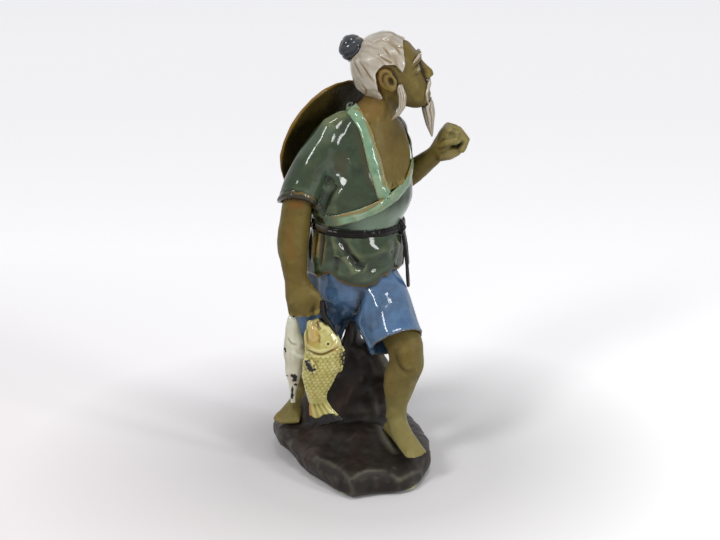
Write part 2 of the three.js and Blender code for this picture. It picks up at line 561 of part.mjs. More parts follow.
element('head', skinGlaze, (grow) => joined(skull(grow), headFeatures(grow)));
element('right_ear', skinGlaze, ear(-1));
element('left_ear', skinGlaze, ear(1));

// Hair: a combed cap over the skull, open at the face, full at the nape, its strands running back
function combed(angle, along, height) {
  const nape = NAPE_FULLNESS * bell(angle - Math.PI, 1.1) * bell(height + 7, 9);
  return HAIR_GROOVE * Math.cos(HAIR_STRANDS * angle) + nape;
}
element('hair', hairGlaze, (grow) => {
  const cap = skull(HAIR_THICKNESS + grow, combed, 16);
  const outline = [[40, 20.5], [14, 20.5], [12.5, 14], [11.5, 7], [8, 2], [4.5, 9], [-3, 11], [-9, 7],
    [-10.5, -4], [-9, -11], [-15, -15.5], [-30, -15.5], [-30, -40], [40, -40]];
  const shape = new THREE.Shape(outline.map(([x, z]) => new THREE.Vector2(x * headX, z * headZ)));
  const slab = new THREE.ExtrudeGeometry(shape, { depth: 2 * HEAD_WIDTH, bevelEnabled: false });
  const turned = new THREE.Matrix4().makeRotationX(Math.PI / 2).setPosition(0, HEAD_WIDTH, 0);
  return cap.subtract(solidFromGeometry(slab, turned.premultiply(headFrame)));
});
element('topknot_bun', bunGlaze, (grow) => limb([
  [...inHead(-13.6, 0, 20), BUN_RADIUS * 0.72, BUN_RADIUS * 0.72],
  [...inHead(-19.4, 0, 24.8), BUN_RADIUS, BUN_RADIUS * 0.97],
  [...inHead(-23.8, 0, 29), BUN_RADIUS * 0.78, BUN_RADIUS * 0.76],
], grow, { frame: headFrame, facing: spot(0.6, 0, 0.8), sides: 12, steps: 3, startDome: 2, endDome: 3.4 }));

// Beard, moustache, brows and the tufts before the ears, each a drawn-out lick of clay
const lick = (points, sizes) => (grow) => limb(
  points.map((p, index) => [...p, ...sizes[index]]), grow,
  { facing: AHEAD, sides: 7, steps: 4, startDome: 1, endDome: 0.6 },
);
const tuftRoot = headCentre.z - 4;
const tuft = (side) => lick([
  [4.9, 18.7, 0], [7.3, 20.6, 0.4], [5.3, 21.5, 0.75], [-0.5, 22, 1],
].map(([x, y, drop]) => [headCentre.x + x, headCentre.y + side * y, tuftRoot - TUFT_LENGTH * drop]),
[[2.2, 2.8], [2.8, 3.4], [1.9, 2.4], [0.6, 0.6]]);
element('right_sideburn_tuft', hairGlaze, tuft(-1));
element('left_sideburn_tuft', hairGlaze, tuft(1));
const chinTip = spot(...inHead(21, 0, -22)).applyMatrix4(headFrame);
element('beard', hairGlaze, lick([
  [-5, 0, 0.07], [-1.8, 0, -0.3], [-1, 0.5, -0.6], [1, 1, -1],
].map(([x, y, drop]) => [chinTip.x + x, chinTip.y + y, chinTip.z + BEARD_LENGTH * drop]),
[[5.2, 4], [5.6, 4.2], [4.2, 3.2], [0.7, 0.7]]));
const whisker = (side) => (grow) => limb([
  [...inHead(23, side * 1, -10.6), 1.2, 1.4], [...inHead(22.4, side * 5, -12.6), 1.7, 1.7],
  [...inHead(18.5, side * 10, -18), 1.4, 1.4], [...inHead(18, side * 11.5, -25), 0.6, 0.6],
], grow, { frame: headFrame, facing: spot(0, 1, 0), sides: 5, steps: 3, startDome: 0.8, endDome: 0.5 });
element('moustache_right', hairGlaze, whisker(-1));
element('moustache_left', hairGlaze, whisker(1));
const eyebrow = (side) => (grow) => limb([
  [...inHead(22.2, side * 4, 7), 1, 1], [...inHead(21.6, side * 9, 8.4), 1.5, 1.6],
  [...inHead(16.5, side * 15.2, 6), 0.8, 0.8],
], grow, { frame: headFrame, facing: UP, sides: 5, steps: 2, startDome: 0.8, endDome: 0.8 });
element('right_eyebrow', hairGlaze, eyebrow(-1));
element('left_eyebrow', hairGlaze, eyebrow(1));

element('tunic_body', greenGlaze, torso);

// Sleeves: short, full and open at the hem, which is drawn up at the front by raise
function sleeve(rows, raise, grow) {
  const drawnUp = (angle) => raise * Math.max(0, Math.cos(angle - Math.PI / 4));
  const outer = limb(rows, grow, {
    sides: 12, steps: 4, startDome: 6, lift: (angle, along) => drawnUp(angle) * along ** 3,
  });
  const [x, y, z, wide, deep] = rows.at(-1);
  const mouth = spot(x, y, z);
  const inward = spot(...rows.at(-2).slice(0, 3)).sub(mouth).normalize();
  const wall = SLEEVE_WALL + grow;
  const at = (depth) => mouth.clone().addScaledVector(inward, depth).toArray();
  const bore = limb([
    [...at(-4), wide - wall + 0.6, deep - wall + 0.6],
    [...at(0), wide - wall, deep - wall],
    [...at(SLEEVE_OPENING_DEPTH), wide - wall - 1.5, deep - wall - 1.5],
  ], 0, { sides: 12, steps: 2, lift: (angle, along) => drawnUp(angle) * (1 - along ** 2 / 2) });
  return outer.subtract(bore);
}
element('right_sleeve', greenGlaze, (grow) => sleeve([
  [-4, -8, SHOULDER_HEIGHT - 2, 10, 8],
  [-13, -13, SHOULDER_HEIGHT - 8, SLEEVE_RADIUS, SLEEVE_RADIUS - 2],
  [elbowSide + 18.5, -16.5, SHOULDER_HEIGHT - 17, SLEEVE_RADIUS - 0.6, SLEEVE_RADIUS - 1],
  [elbowSide + 12.5, -18.5, SHOULDER_HEIGHT - 30, SLEEVE_RADIUS, SLEEVE_RADIUS],
  [elbowSide + 5.5, -20, SHOULDER_HEIGHT - 46, SLEEVE_RADIUS + 1.4, SLEEVE_RADIUS + 1.2],
  [elbowSide + 3.5, -21, SHOULDER_HEIGHT - 55, SLEEVE_RADIUS + 2, SLEEVE_RADIUS + 1.8],
], SLEEVE_RAISE, grow));
element('left_sleeve', greenGlaze, (grow) => sleeve([
  [20, 14, SHOULDER_HEIGHT - 2, 10, 9],
  [25, 23, SHOULDER_HEIGHT - 9, SLEEVE_RADIUS - 1.6, SLEEVE_RADIUS - 1.6],
  [26, 28, SHOULDER_HEIGHT - 20, SLEEVE_RADIUS - 1, SLEEVE_RADIUS],
  [26, 31, SHOULDER_HEIGHT - 33, SLEEVE_RADIUS - 0.6, SLEEVE_RADIUS + 1],
  [26.5, 33, SHOULDER_HEIGHT - 47, SLEEVE_RADIUS + 0.6, SLEEVE_RADIUS + 1.6],
  [27.5, 33, SHOULDER_HEIGHT - 53, SLEEVE_RADIUS + 1, SLEEVE_RADIUS + 2],
], 0, grow));

// Shorts: a seat and two wide legs, open round the knees
const leftHem = leftKnee.clone().add(spot(-6.5, -1, 6));
const rightHem = rightKnee.clone().add(spot(1, 3, 3));
const leftThigh = spot(0.34, -0.6, -0.72).normalize();
const rightThigh = spot(-0.33, 0.05, -0.95).normalize();
function shortsLeg(hem, thigh, grow) {
  const at = (back) => hem.clone().addScaledVector(thigh, -back).toArray();
  const radius = SHORTS_LEG_RADIUS;
  return limb([
    [3, 3, CROTCH_HEIGHT + 48, 18, 16], [...at(38), radius + 2, radius + 1.4],
    [...at(18), radius + 1.6, radius + 1.2], [...at(4), radius + 0.6, radius + 0.3],
    [...at(0), radius + 1, radius + 0.6],
  ], grow, { facing: leftToes, sides: 12, steps: 4 });
}
function shortsBore(hem, thigh, grow) {
  const at = (back) => hem.clone().addScaledVector(thigh, -back).toArray();
  const radius = SHORTS_LEG_RADIUS - SHORTS_HEM_WALL - grow;
  return limb([
    [...at(-3), radius + 1.2, radius + 0.8], [...at(0), radius + 1, radius + 0.6],
    [...at(9), radius - 1.4, radius - 1.4],
  ], 0, { facing: leftToes, sides: 12, steps: 1 });
}
element('shorts', blueGlaze, (grow) => {
  const seat = limb([
    [3, 0, CROTCH_HEIGHT + 6, 20, 16], [3, 0, CROTCH_HEIGHT + 20, 31, 24],
    [3, 0, CROTCH_HEIGHT + 38, 31, 24], [3, 0, WAIST_HEIGHT - 8, WAIST_WIDTH / 2 - 4, WAIST_DEPTH / 2 - 3],
  ], grow, { sides: 14, steps: 3, level: true, startDome: 5 });
  return joined(seat, shortsLeg(leftHem, leftThigh, grow), shortsLeg(rightHem, rightThigh, grow))
    .subtract(shortsBore(leftHem, leftThigh, grow)).subtract(shortsBore(rightHem, rightThigh, grow));
});

// Skirt of the robe: pleats at his right, a deep swag hung from the sash and a hem that dips under it
const swagTurn = 29;
const pleatTurn = 75;
function drapery(angle, along, height) {
  const turn = -degreesOf(angle);
  const below = WAIST_HEIGHT - SASH_HEIGHT / 2 - height;
  const fade = THREE.MathUtils.clamp(below / 6, 0, 1);
  const pleats = PLEAT_DEPTH * (Math.cos(9 * angle) * (1 - bell(turn - swagTurn, 45))
    - 1.6 * bell(turn - pleatTurn, 7));
  const line = 17 - 17 * ((turn - swagTurn) / 50) ** 2;
  const swag = SWAG_DEPTH * (
    0.8 * bell(below - line + 5.5, 4.5) - bell(below - line, 3) + 0.7 * bell(below - line - 6, 4));
  return fade * (pleats + swag * bell(turn - swagTurn, 52));
}
function hemline(angle, along) {
  const turn = -degreesOf(angle);
  const drop = -HEM_DIP * bell(turn - swagTurn, 26) + HEM_NOTCH * bell(turn - pleatTurn, 9)
    + HEM_DIP / 4 * bell(turn + 30, 20);
  return drop * (1 - along) ** 1.6 + waistSlant(angle) * along ** 2;
}
element('tunic_skirt', greenGlaze, (grow) => {
  const hem = WAIST_HEIGHT - SKIRT_LENGTH;
  const wide = SKIRT_HEM_WIDTH / 2;
  const deep = SKIRT_HEM_DEPTH / 2;
  const outer = limb([
    [2, 0, hem, wide, deep, deep + 3],
    [2, 0, hem + 10, wide - 0.2, deep - 0.4, deep + 3],
    [3, 0, WAIST_HEIGHT - 12, WAIST_WIDTH / 2 + 1.6, WAIST_DEPTH / 2 + 2.4, WAIST_DEPTH / 2 + 4],
    [3.2, 0, WAIST_HEIGHT - SASH_HEIGHT / 2, WAIST_WIDTH / 2, WAIST_DEPTH / 2, WAIST_DEPTH / 2],
    [3.2, 0, WAIST_HEIGHT - SEAT_GAP, WAIST_WIDTH / 2, WAIST_DEPTH / 2, WAIST_DEPTH / 2],
  ], grow, { sides: 24, steps: 8, level: true, fold: drapery, lift: hemline });
  const wall = SKIRT_WALL + grow;
  const under = limb([
    [2, 0, hem - 7, wide - wall, deep - wall],
    [2, 0, hem + 1, wide - wall - 0.6, deep - wall - 0.6],
    [2.6, 0, hem + 7, wide - wall - 4, deep - wall - 4],
  ], 0, { sides: 16, steps: 2, level: true, lift: (angle, along) => hemline(angle, 0) * (1 - along) });
  return outer.subtract(under);
});

element('left_lapel', celadonGlaze, (grow) => lapel(leftLapelStops, grow));
element('right_lapel', celadonGlaze, (grow) => lapel(rightLapelStops, grow));
function lapel(stops, grow) {
  const seats = stops.map(([height, degrees]) => onRobe(height, degrees));
  const outs = seats.map((seat) => seat.out);
  return band(seats.map((seat) => seat.place), outs, LAPEL_WIDTH, LAPEL_THICKNESS, grow, { steps: 10 });
}

// Sash, its knot over his left hip and the two hanging tails
element('sash', sashGlaze, (grow) => {
  const sashRing = (outset, half, chamfer) => {
    const at = (z, inset) => [3.2, 0, WAIST_HEIGHT + z * half, WAIST_WIDTH / 2 + outset - inset,
      WAIST_DEPTH / 2 + outset - inset];
    return limb([at(-1, chamfer), at(-0.5, chamfer / 5), at(0, 0), at(0.5, chamfer / 5), at(1, chamfer)], 0,
      { sides: 24, steps: 2, level: true, lift: waistSlant });
  };
  return sashRing(SASH_PROUD + grow, SASH_HEIGHT / 2 + grow, SASH_PROUD * 0.6)
    .subtract(sashRing(SASH_CLEARANCE - grow, SASH_HEIGHT, 0));
});
// The knot sits at the robe's edge as seen from ahead, where the turned body's waist is this wide
const waistReach = 1 / Math.hypot(Math.cos(radians(BODY_TURN)) / (WAIST_DEPTH / 2),
  Math.sin(radians(BODY_TURN)) / (WAIST_WIDTH / 2));
const knot = spot(3.2 + waistReach - KNOT_SINK, -4.5, WAIST_HEIGHT - WAIST_SLANT);
element('sash_knot', sashGlaze, (grow) => limb([
  [knot.x - 1, knot.y, knot.z - 4, 3.4, 3], [knot.x + 0.6, knot.y, knot.z, 5, 3.8],
  [knot.x - 1, knot.y, knot.z + 4, 3.6, 3],
], grow, { facing: AHEAD, sides: 8, steps: 2, startDome: 2, endDome: 2 }));
const tail = (side, length, swing) => (grow) => {
  const fall = [[1.6, 0, 4], [3.6, 0.4, length * 0.4], [4.8, 1, length * 0.75], [5.4, 1.2, length]];
  const path = fall.map(([out, sway, drop]) => knot.clone().add(spot(out, side + sway * swing, -drop)));
  const outs = fall.map(() => spot(1, -0.2, 0));
  const taper = (along) => 0.55 + 0.45 * along;
  return band(path, outs, TAIL_WIDTH, TAIL_THICKNESS, grow, { steps: 5, taper });
};
element('sash_tail_long', sashGlaze, tail(-2.4, 40, -3));
element('sash_tail_short', sashGlaze, tail(3.6, 29, 4));

// Rock: a hill up to the shorts, and a base with worn facets
element('rock_column', rockGlaze, (grow) => {
  const half = COLUMN_FOOT_WIDTH / 2;
  const foot = BASE_FOOT_HEIGHT - 2;
  const climb = (share) => foot + share * (COLUMN_TOP - foot);
  return limb([
    [-5, 9, foot, half, half * 0.53],
    [-5, 8.5, climb(0.2), half * 0.94, half * 0.47],
    [-4, 8, climb(0.3), half * 0.87, half * 0.42],
    [1, 7, climb(0.43), half * 0.74, half * 0.38],
    [5, 6, climb(0.53), half * 0.57, half * 0.34],
    [2.5, 5, climb(0.64), half * 0.38, half * 0.29],
    [-1.5, 4, climb(0.74), half * 0.24, half * 0.25],
    [-1, 2, COLUMN_TOP, COLUMN_TOP_RADIUS, COLUMN_TOP_RADIUS],
  ], grow, {
    facing: TO_VIEWER, sides: 11, steps: 7, fold: (angle, along) => 1.3 * Math.sin(3 * angle + 9 * along),
  });
});

// The base's foot and its rim are closed curves through a few corners, and the rim overhangs at the
// right foot; above the rim the rows draw in towards the column
const closedEdge = (corners) => (
  new THREE.CatmullRomCurve3(corners.map(([x, y]) => spot(x, y, 0)), true, 'catmullrom', 0.3));
const footEdge = closedEdge([[-40, -9], [-34, -31], [-20, -50], [-2, -73], [15, -68], [31, -66], [43, -56],
  [54, -24], [48, 8], [43, 30], [32, BASE_BACK_REACH - 2], [-4, BASE_BACK_REACH],
  [-46, BASE_BACK_REACH - 1], [-54, 30], [-46, 10]]);
const rimEdge = closedEdge([[-54, -7], [-38, -33], [-21, -52], [-2, -72], [14, -69], [30, -66], [44, -52],
  [55.5, -28], [49, 8], [43, 30], [30, BASE_BACK_REACH - 4], [-4, BASE_BACK_REACH - 3],
  [-44, BASE_BACK_REACH - 3], [-57, 30], [-58, 8]]);
element('rock_base', rockGlaze, (grow) => {
  const sides = 24;
  const centre = spot(0, -6, 0);
  const under = PAD_THICKNESS + SEAT_GAP;
  // Each level is its height, how far it has gone from the foot to the rim, and its share of the width
  const levels = [[under, 0, 0.97], [under + 2.5, 0, 1], [BASE_EDGE_HEIGHT * 0.65, 0.7, 1],
    [BASE_EDGE_HEIGHT, 1, 0.97], [BASE_EDGE_HEIGHT + 3, 1, 0.88], [BASE_FOOT_HEIGHT, 1, 0.6],
    [BASE_FOOT_HEIGHT + 6, 1, 0.32]];
  const rows = levels.map(([height, rise, share], index) => range(sides).map((side) => {
    const around = side / sides;
    const edge = footEdge.getPoint(around).lerp(rimEdge.getPoint(around), rise);
    const slope = index > 2 ? 0.05 * (edge.y + 20) * share : 0;
    const facet = index > 0 && index < 4 ? 1.1 * Math.sin(10 * Math.PI * around + index * 1.7) : 0;
    const outward = edge.clone().sub(centre).normalize();
    return centre.clone().lerp(edge, share).addScaledVector(outward, grow + facet)
      .add(spot(0, 0, height + slope + (index ? grow : -grow)));
  }));
  const stone = skin(rows, centre.clone().add(spot(0, 0, under - grow)),
    centre.clone().add(spot(2, 4, BASE_FOOT_HEIGHT + 8 + grow)));
  const ventTop = VENT_DEPTH - grow;
  const bore = [[0, -5], [VENT_RADIUS - grow, -5], [VENT_RADIUS - grow, ventTop], [0, ventTop]];
  const vent = new THREE.LatheGeometry(bore.map(([r, h]) => new THREE.Vector2(r, h)), 14);
  return stone.subtract(solidFromGeometry(vent, new THREE.Matrix4().makeRotationX(Math.PI / 2)));
});

// Hat: a shallow cone with a dished underside, hung on his back, which presses into the dish
const hatInward = spot(0.66, -0.66, -0.34).normalize();
const hatCentre = onRobe(trunk(0.744), 173, HAT_BITE - HAT_DISH).place;
element('hat', strawGlaze, (grow) => {
  const radius = HAT_RADIUS + grow;
  const outline = [[0, HAT_DISH - grow], [radius * 0.5, HAT_DISH * 0.6 - grow], [radius - 1.2, -grow],
    [radius, HAT_RIM * 0.4], [radius - 0.8, HAT_RIM + grow], [radius * 0.5, HAT_HEIGHT * 0.56 + grow],
    [HAT_RADIUS * 0.12, HAT_HEIGHT + grow], [0, HAT_HEIGHT + 0.6 + grow]];
  const cone = new THREE.LatheGeometry(outline.map(([r, h]) => new THREE.Vector2(r, h)), 24);
  const turn = new THREE.Quaternion().setFromUnitVectors(spot(0, 1, 0), hatInward.clone().negate());
  return solidFromGeometry(cone, new THREE.Matrix4().makeRotationFromQuaternion(turn).setPosition(hatCentre));
});

// The catch: two fish hung by the mouth from the fist
const fishBody = (mouth, lean, rows, length, wide, thick) => (grow) => limb(
  rows.map(([part, width, depth, shift]) => [
    mouth.x + lean * part * length + shift, mouth.y - 2 * Math.sin(part * Math.PI), mouth.z - part * length,
    width * wide / 2, depth * thick / 2]),
  grow, { facing: TO_VIEWER, sides: 10, steps: 6, startDome: 1.5, endDome: 1 },
);
element('carp_body', carpGlaze, fishBody(carpMouth, 0, [
  [0, 0.42, 0.45, -2.5], [0.1, 0.62, 0.7, -1.2], [0.2, 0.76, 0.85, -0.2], [0.36, 0.92, 1, 1.6],
  [0.51, 1, 0.95, 0.5], [0.64, 0.94, 0.85, -1.6], [0.8, 0.7, 0.65, -3], [0.92, 0.52, 0.5, -2.8],
  [1, 0.5, 0.42, -2.6],
], CARP_LENGTH * 0.76, CARP_WIDTH, CARP_THICKNESS));
const onCarp = (x, y, share) => [carpMouth.x + x, carpMouth.y + y, carpMouth.z - CARP_LENGTH * share];
element('carp_tail_fin', carpGlaze, (grow) => limb([
  [...onCarp(-2.4, 0, 0.72), 6, 2.2], [...onCarp(-1, 0, 0.83), 8, 1.8],
  [...onCarp(1.4, -0.5, 0.97), 10.2, 1.3],
], grow, { facing: TO_VIEWER, sides: 8, steps: 3, startDome: 1, endDome: 0.8 }));
element('carp_dorsal_fin', carpGlaze, (grow) => limb([
  [...onCarp(11, -0.5, 0.24), 2.4, 1.3], [...onCarp(13, -1, 0.32), 3.6, 1.5],
  [...onCarp(11.6, -1, 0.46), 2.8, 1.2],
], grow, { facing: TO_VIEWER, sides: 6, steps: 3, startDome: 1.2, endDome: 1.2 }));
element('white_fish_body', whiteFishGlaze, fishBody(whiteFishMouth, 0.005, [
  [0, 0.4, 0.4, 0], [0.12, 0.72, 0.75, 0], [0.32, 1, 1, 0.6], [0.5, 1, 1, 0.6], [0.7, 0.84, 0.8, 0],
  [0.88, 0.55, 0.5, 0], [1, 0.42, 0.34, 0.2],
], WHITE_FISH_LENGTH * 0.88, WHITE_FISH_WIDTH, WHITE_FISH_THICKNESS));
const onWhiteFish = (x, share) => [
  whiteFishMouth.x + x, whiteFishMouth.y, whiteFishMouth.z - WHITE_FISH_LENGTH * share,
];
element('white_fish_tail_fin', whiteFishGlaze, (grow) => limb([
  [...onWhiteFish(0.6, 0.86), 2.6, 1.4], [...onWhiteFish(1.4, 1), 3.6, 1.1],
], grow, { facing: TO_VIEWER, sides: 8, steps: 1, startDome: 0.8, endDome: 0.8 }));

// Each element is cut by the ones named before it, grown by the seat gap, so that all of them seat
const boxesMeet = (a, b) => [0, 1, 2].every((axis) => a.min[axis] < b.max[axis] && b.min[axis] < a.max[axis]);
const seated = [];
elements.forEach(({ name, glaze, form }) => {
  let solid = form(0);
  const box = solid.boundingBox();
  seated.filter((earlier) => boxesMeet(box, earlier.box)).forEach((earlier) => {
    solid = solid.subtract(earlier.grown);
  });
  solid = largest(solid);
  const grown = form(SEAT_GAP).add(solid);
  seated.push({ name, glaze, solid, grown, box: grown.boundingBox() });
});

const figurine = new THREE.Group();
seated.forEach(({ name, glaze, solid }) => {
  const { vertProperties, triVerts } = solid.getMesh();
  const geometry = new THREE.BufferGeometry();
  geometry.setAttribute('position', new THREE.BufferAttribute(vertProperties, 3));
  geometry.setIndex(new THREE.BufferAttribute(triVerts, 1));
  geometry.computeVertexNormals();
  const mesh = new THREE.Mesh(geometry, glaze);
  mesh.name = name;
  figurine.add(mesh);
});

// The origin is the middle of the whole, on the surface that the pads stand on
const whole = new THREE.Box3().setFromObject(figurine);
const middle = whole.getCenter(spot(0, 0, 0));
figurine.position.set(-middle.x, -middle.y, -whole.min.z);
figurine.updateMatrixWorld(true);

export default figurine;
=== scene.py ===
# %% [markdown]
# # A glazed stoneware fisherman
# A potter builds such a figure from separately formed lumps, slabs and coils of clay, lutes them
# together with slip, sprigs on fins and licks of hair, and glazes only the clothes, the hair and the
# catch. The frame holds the true sizes. This lesson dresses each element as fired clay.

# %% Load the frame
import math
import bmesh
import bpy
import numpy as np
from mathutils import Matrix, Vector
from mathutils.bvhtree import BVHTree


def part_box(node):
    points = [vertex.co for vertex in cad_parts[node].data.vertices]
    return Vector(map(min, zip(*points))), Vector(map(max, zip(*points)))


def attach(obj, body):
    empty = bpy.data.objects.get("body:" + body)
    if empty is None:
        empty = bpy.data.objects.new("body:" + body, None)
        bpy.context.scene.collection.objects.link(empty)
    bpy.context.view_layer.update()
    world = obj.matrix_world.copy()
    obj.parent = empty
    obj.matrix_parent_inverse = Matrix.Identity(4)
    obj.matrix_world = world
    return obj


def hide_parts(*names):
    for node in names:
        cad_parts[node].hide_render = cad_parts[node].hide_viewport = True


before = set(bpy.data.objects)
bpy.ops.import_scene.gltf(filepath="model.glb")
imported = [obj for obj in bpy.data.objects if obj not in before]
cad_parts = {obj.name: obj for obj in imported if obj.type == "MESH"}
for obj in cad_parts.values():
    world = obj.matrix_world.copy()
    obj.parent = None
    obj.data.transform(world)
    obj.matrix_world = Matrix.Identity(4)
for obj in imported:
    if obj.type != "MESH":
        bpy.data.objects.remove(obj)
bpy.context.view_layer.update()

MM = 0.001

# %% [markdown]
# The figure was laid out round a point between its feet, and its origin was then moved to the middle
# of its outline. A felt pad tells how far, so that places can be written in the figure's own
# millimetres, whatever the outline does later.

# %% Places in the figure's own millimetres
PAD_PLACE = np.array((-2.0, -58.0, 0.0))     # the front left pad's middle
pad_low, pad_high = (np.array(corner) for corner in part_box("felt_pad_front_left"))
SHIFT = (pad_low + pad_high) / 2 / MM - PAD_PLACE
SHIFT[2] = 0


def to_frame(points):
    """The figure's own millimetres as the frame's metres."""
    return (np.asarray(points) + SHIFT) * MM


def to_own(points):
    """The frame's metres as the figure's own millimetres."""
    return np.asarray(points) / MM - SHIFT


print("shift in mm:", SHIFT)

# %% [markdown]
# The camera stands where the photographer stood: a little above the figure's middle, looking down at
# about 18 degrees through a long lens. It is made first, because many creases and edges are placed by
# the spot where the photograph shows them, on a ray from this camera.

# %% Camera
CAMERA_PLACE = Vector((5, -1107, 493))       # in the figure's own millimetres
CAMERA_PITCH = math.radians(17.85)
LENS_PIXELS = 1720                           # the lens's length, in the photograph's pixels
PHOTO_WIDTH, PHOTO_HEIGHT = 720, 540
SENSOR_WIDTH = 36

camera_data = bpy.data.cameras.new("camera")
camera_data.sensor_width = SENSOR_WIDTH
camera_data.lens = LENS_PIXELS / PHOTO_WIDTH * SENSOR_WIDTH
camera = bpy.data.objects.new("camera", camera_data)
camera.location = to_frame(CAMERA_PLACE)
camera.rotation_euler = (math.pi / 2 - CAMERA_PITCH, 0, 0)
bpy.context.scene.collection.objects.link(camera)
bpy.context.scene.camera = camera


def photo_ray(u, v):
    """The direction from the camera through a pixel of the photograph."""
    right = (u - PHOTO_WIDTH / 2) / LENS_PIXELS
    up = (PHOTO_HEIGHT / 2 - v) / LENS_PIXELS
    forward = Vector((0, math.cos(CAMERA_PITCH), -math.sin(CAMERA_PITCH)))
    upward = Vector((0, math.sin(CAMERA_PITCH), math.cos(CAMERA_PITCH)))
    return (forward + upward * up + Vector((right, 0, 0))).normalized()


print("lens:", round(camera_data.lens, 1), "mm")

# %% [markdown]
# Soft clay needs few tools: smoothing with a wet finger, pushing a furrow with a stick, drawing up a
# ridge. Each is a sum over a mesh's points here, so points and edges are kept as arrays. A ripple is
# the unevenness that a hand leaves, made from a few waves in fixed random directions.

# %% Points, neighbours and ripples
WAVES = 12
WAVE_RANGE = 1.2, 2.6       # how long a wave is, in widths of a bump


def mesh_arrays(mesh):
    """A mesh's points and edges as arrays."""
    points = np.empty(len(mesh.vertices) * 3)
    mesh.vertices.foreach_get("co", points)
    edges = np.empty(len(mesh.edges) * 2, dtype=np.int64)
    mesh.edges.foreach_get("vertices", edges)
    return points.reshape(-1, 3), edges.reshape(-1, 2)


def neighbour_mean(values, edges):
    """Each point's mean over its neighbours, for one or several columns."""
    count = len(values)
    a, b = edges[:, 0], edges[:, 1]
    degree = np.maximum(np.bincount(a, minlength=count) + np.bincount(b, minlength=count), 1)
    columns = values.reshape(count, -1)
    sums = [np.bincount(a, columns[b, k], count) + np.bincount(b, columns[a, k], count)
            for k in range(columns.shape[1])]
    return (np.stack(sums, axis=1) / degree[:, None]).reshape(values.shape)


def ripple(points, size, seed):
    """A smooth unevenness of about -1 to 1, with bumps about as wide as size."""
    random = np.random.default_rng(seed)
    total = np.zeros(len(points))
    for _ in range(WAVES):
        direction = random.normal(size=3)
        direction *= 2 * math.pi / (size * random.uniform(*WAVE_RANGE) * np.linalg.norm(direction))
        total += np.sin(points @ direction + random.uniform(0, 2 * math.pi))
    return total / math.sqrt(WAVES)


def bump(distance, middle, width):
    """A bell-shaped share round a distance."""
    return np.exp(-((distance - middle) / width) ** 2)


def ramp(value, start, end):
    """A soft step from 0 at start to 1 at end."""
    share = np.clip((value - start) / (end - start), 0, 1)
    return share * share * (3 - 2 * share)


def smooth_path(points, step=0.6):
    """A Catmull-Rom curve through the points, with a point every step mm."""
    points = np.asarray(points, dtype=float)
    ends = np.vstack([2 * points[0] - points[1], points, 2 * points[-1] - points[-2]])
    pieces = []
    for before, here, there, after in zip(ends, ends[1:], ends[2:], ends[3:]):
        count = max(2, int(np.linalg.norm(there - here) / step))
        t = np.linspace(0, 1, count, endpoint=False)[:, None]
        pieces.append(0.5 * (2 * here + (there - before) * t
                             + (2 * before - 5 * here + 4 * there - after) * t ** 2
                             + (3 * here - before - 3 * there + after) * t ** 3))
    return np.vstack(pieces + [points[-1:]])


# %% [markdown]
# Clay has no hard seams where it was luted. So elements that the potter smoothed into each other are
# copied from the frame, swollen by a hair to close the seat gap between them, fused by a voxel remesh,
# smoothed and drawn back. A Form is such a lump: it keeps its points, the shares of gold, dark or pale
# glaze and of painted shade and highlight on each, and the tools that push and pull it. Sizes are in
# mm.

# %% A form of clay
SEAM_SWELL = 0.3            # how far each element swells before they are fused
SAME_CORNER = 1e-6          # in metres, between corners that are one
ROUNDS_PER_GRAIN = 4        # rounds of smoothing that reach one grain
SPREAD_REACH = 2.4          # widths from a path to where its share is next to nothing
SAME_SIDE = -0.1, 0.5       # how well a normal has to agree with the path's own
BATCH = 3_000_000           # distances that are worked out at a time
BLOT_EDGE = 0.42, 0.54      # the shares between which a blot begins
BLOT_TEETH = 1.6            # the size of the teeth on its edge
CREST_REACH = 1.6           # how far round a point its neighbours are looked at
FAR = 1e3


def new_piece(name, mesh):
    """A mesh as an object of the scene, at the origin."""
    piece = bpy.data.objects.new(name, mesh)
    bpy.context.scene.collection.objects.link(piece)
    return piece


def coat_piece(piece, coat):
    """One glaze over a whole piece."""
    piece.data.shade_smooth()
    piece.data.materials.clear()
    piece.data.materials.append(coat)


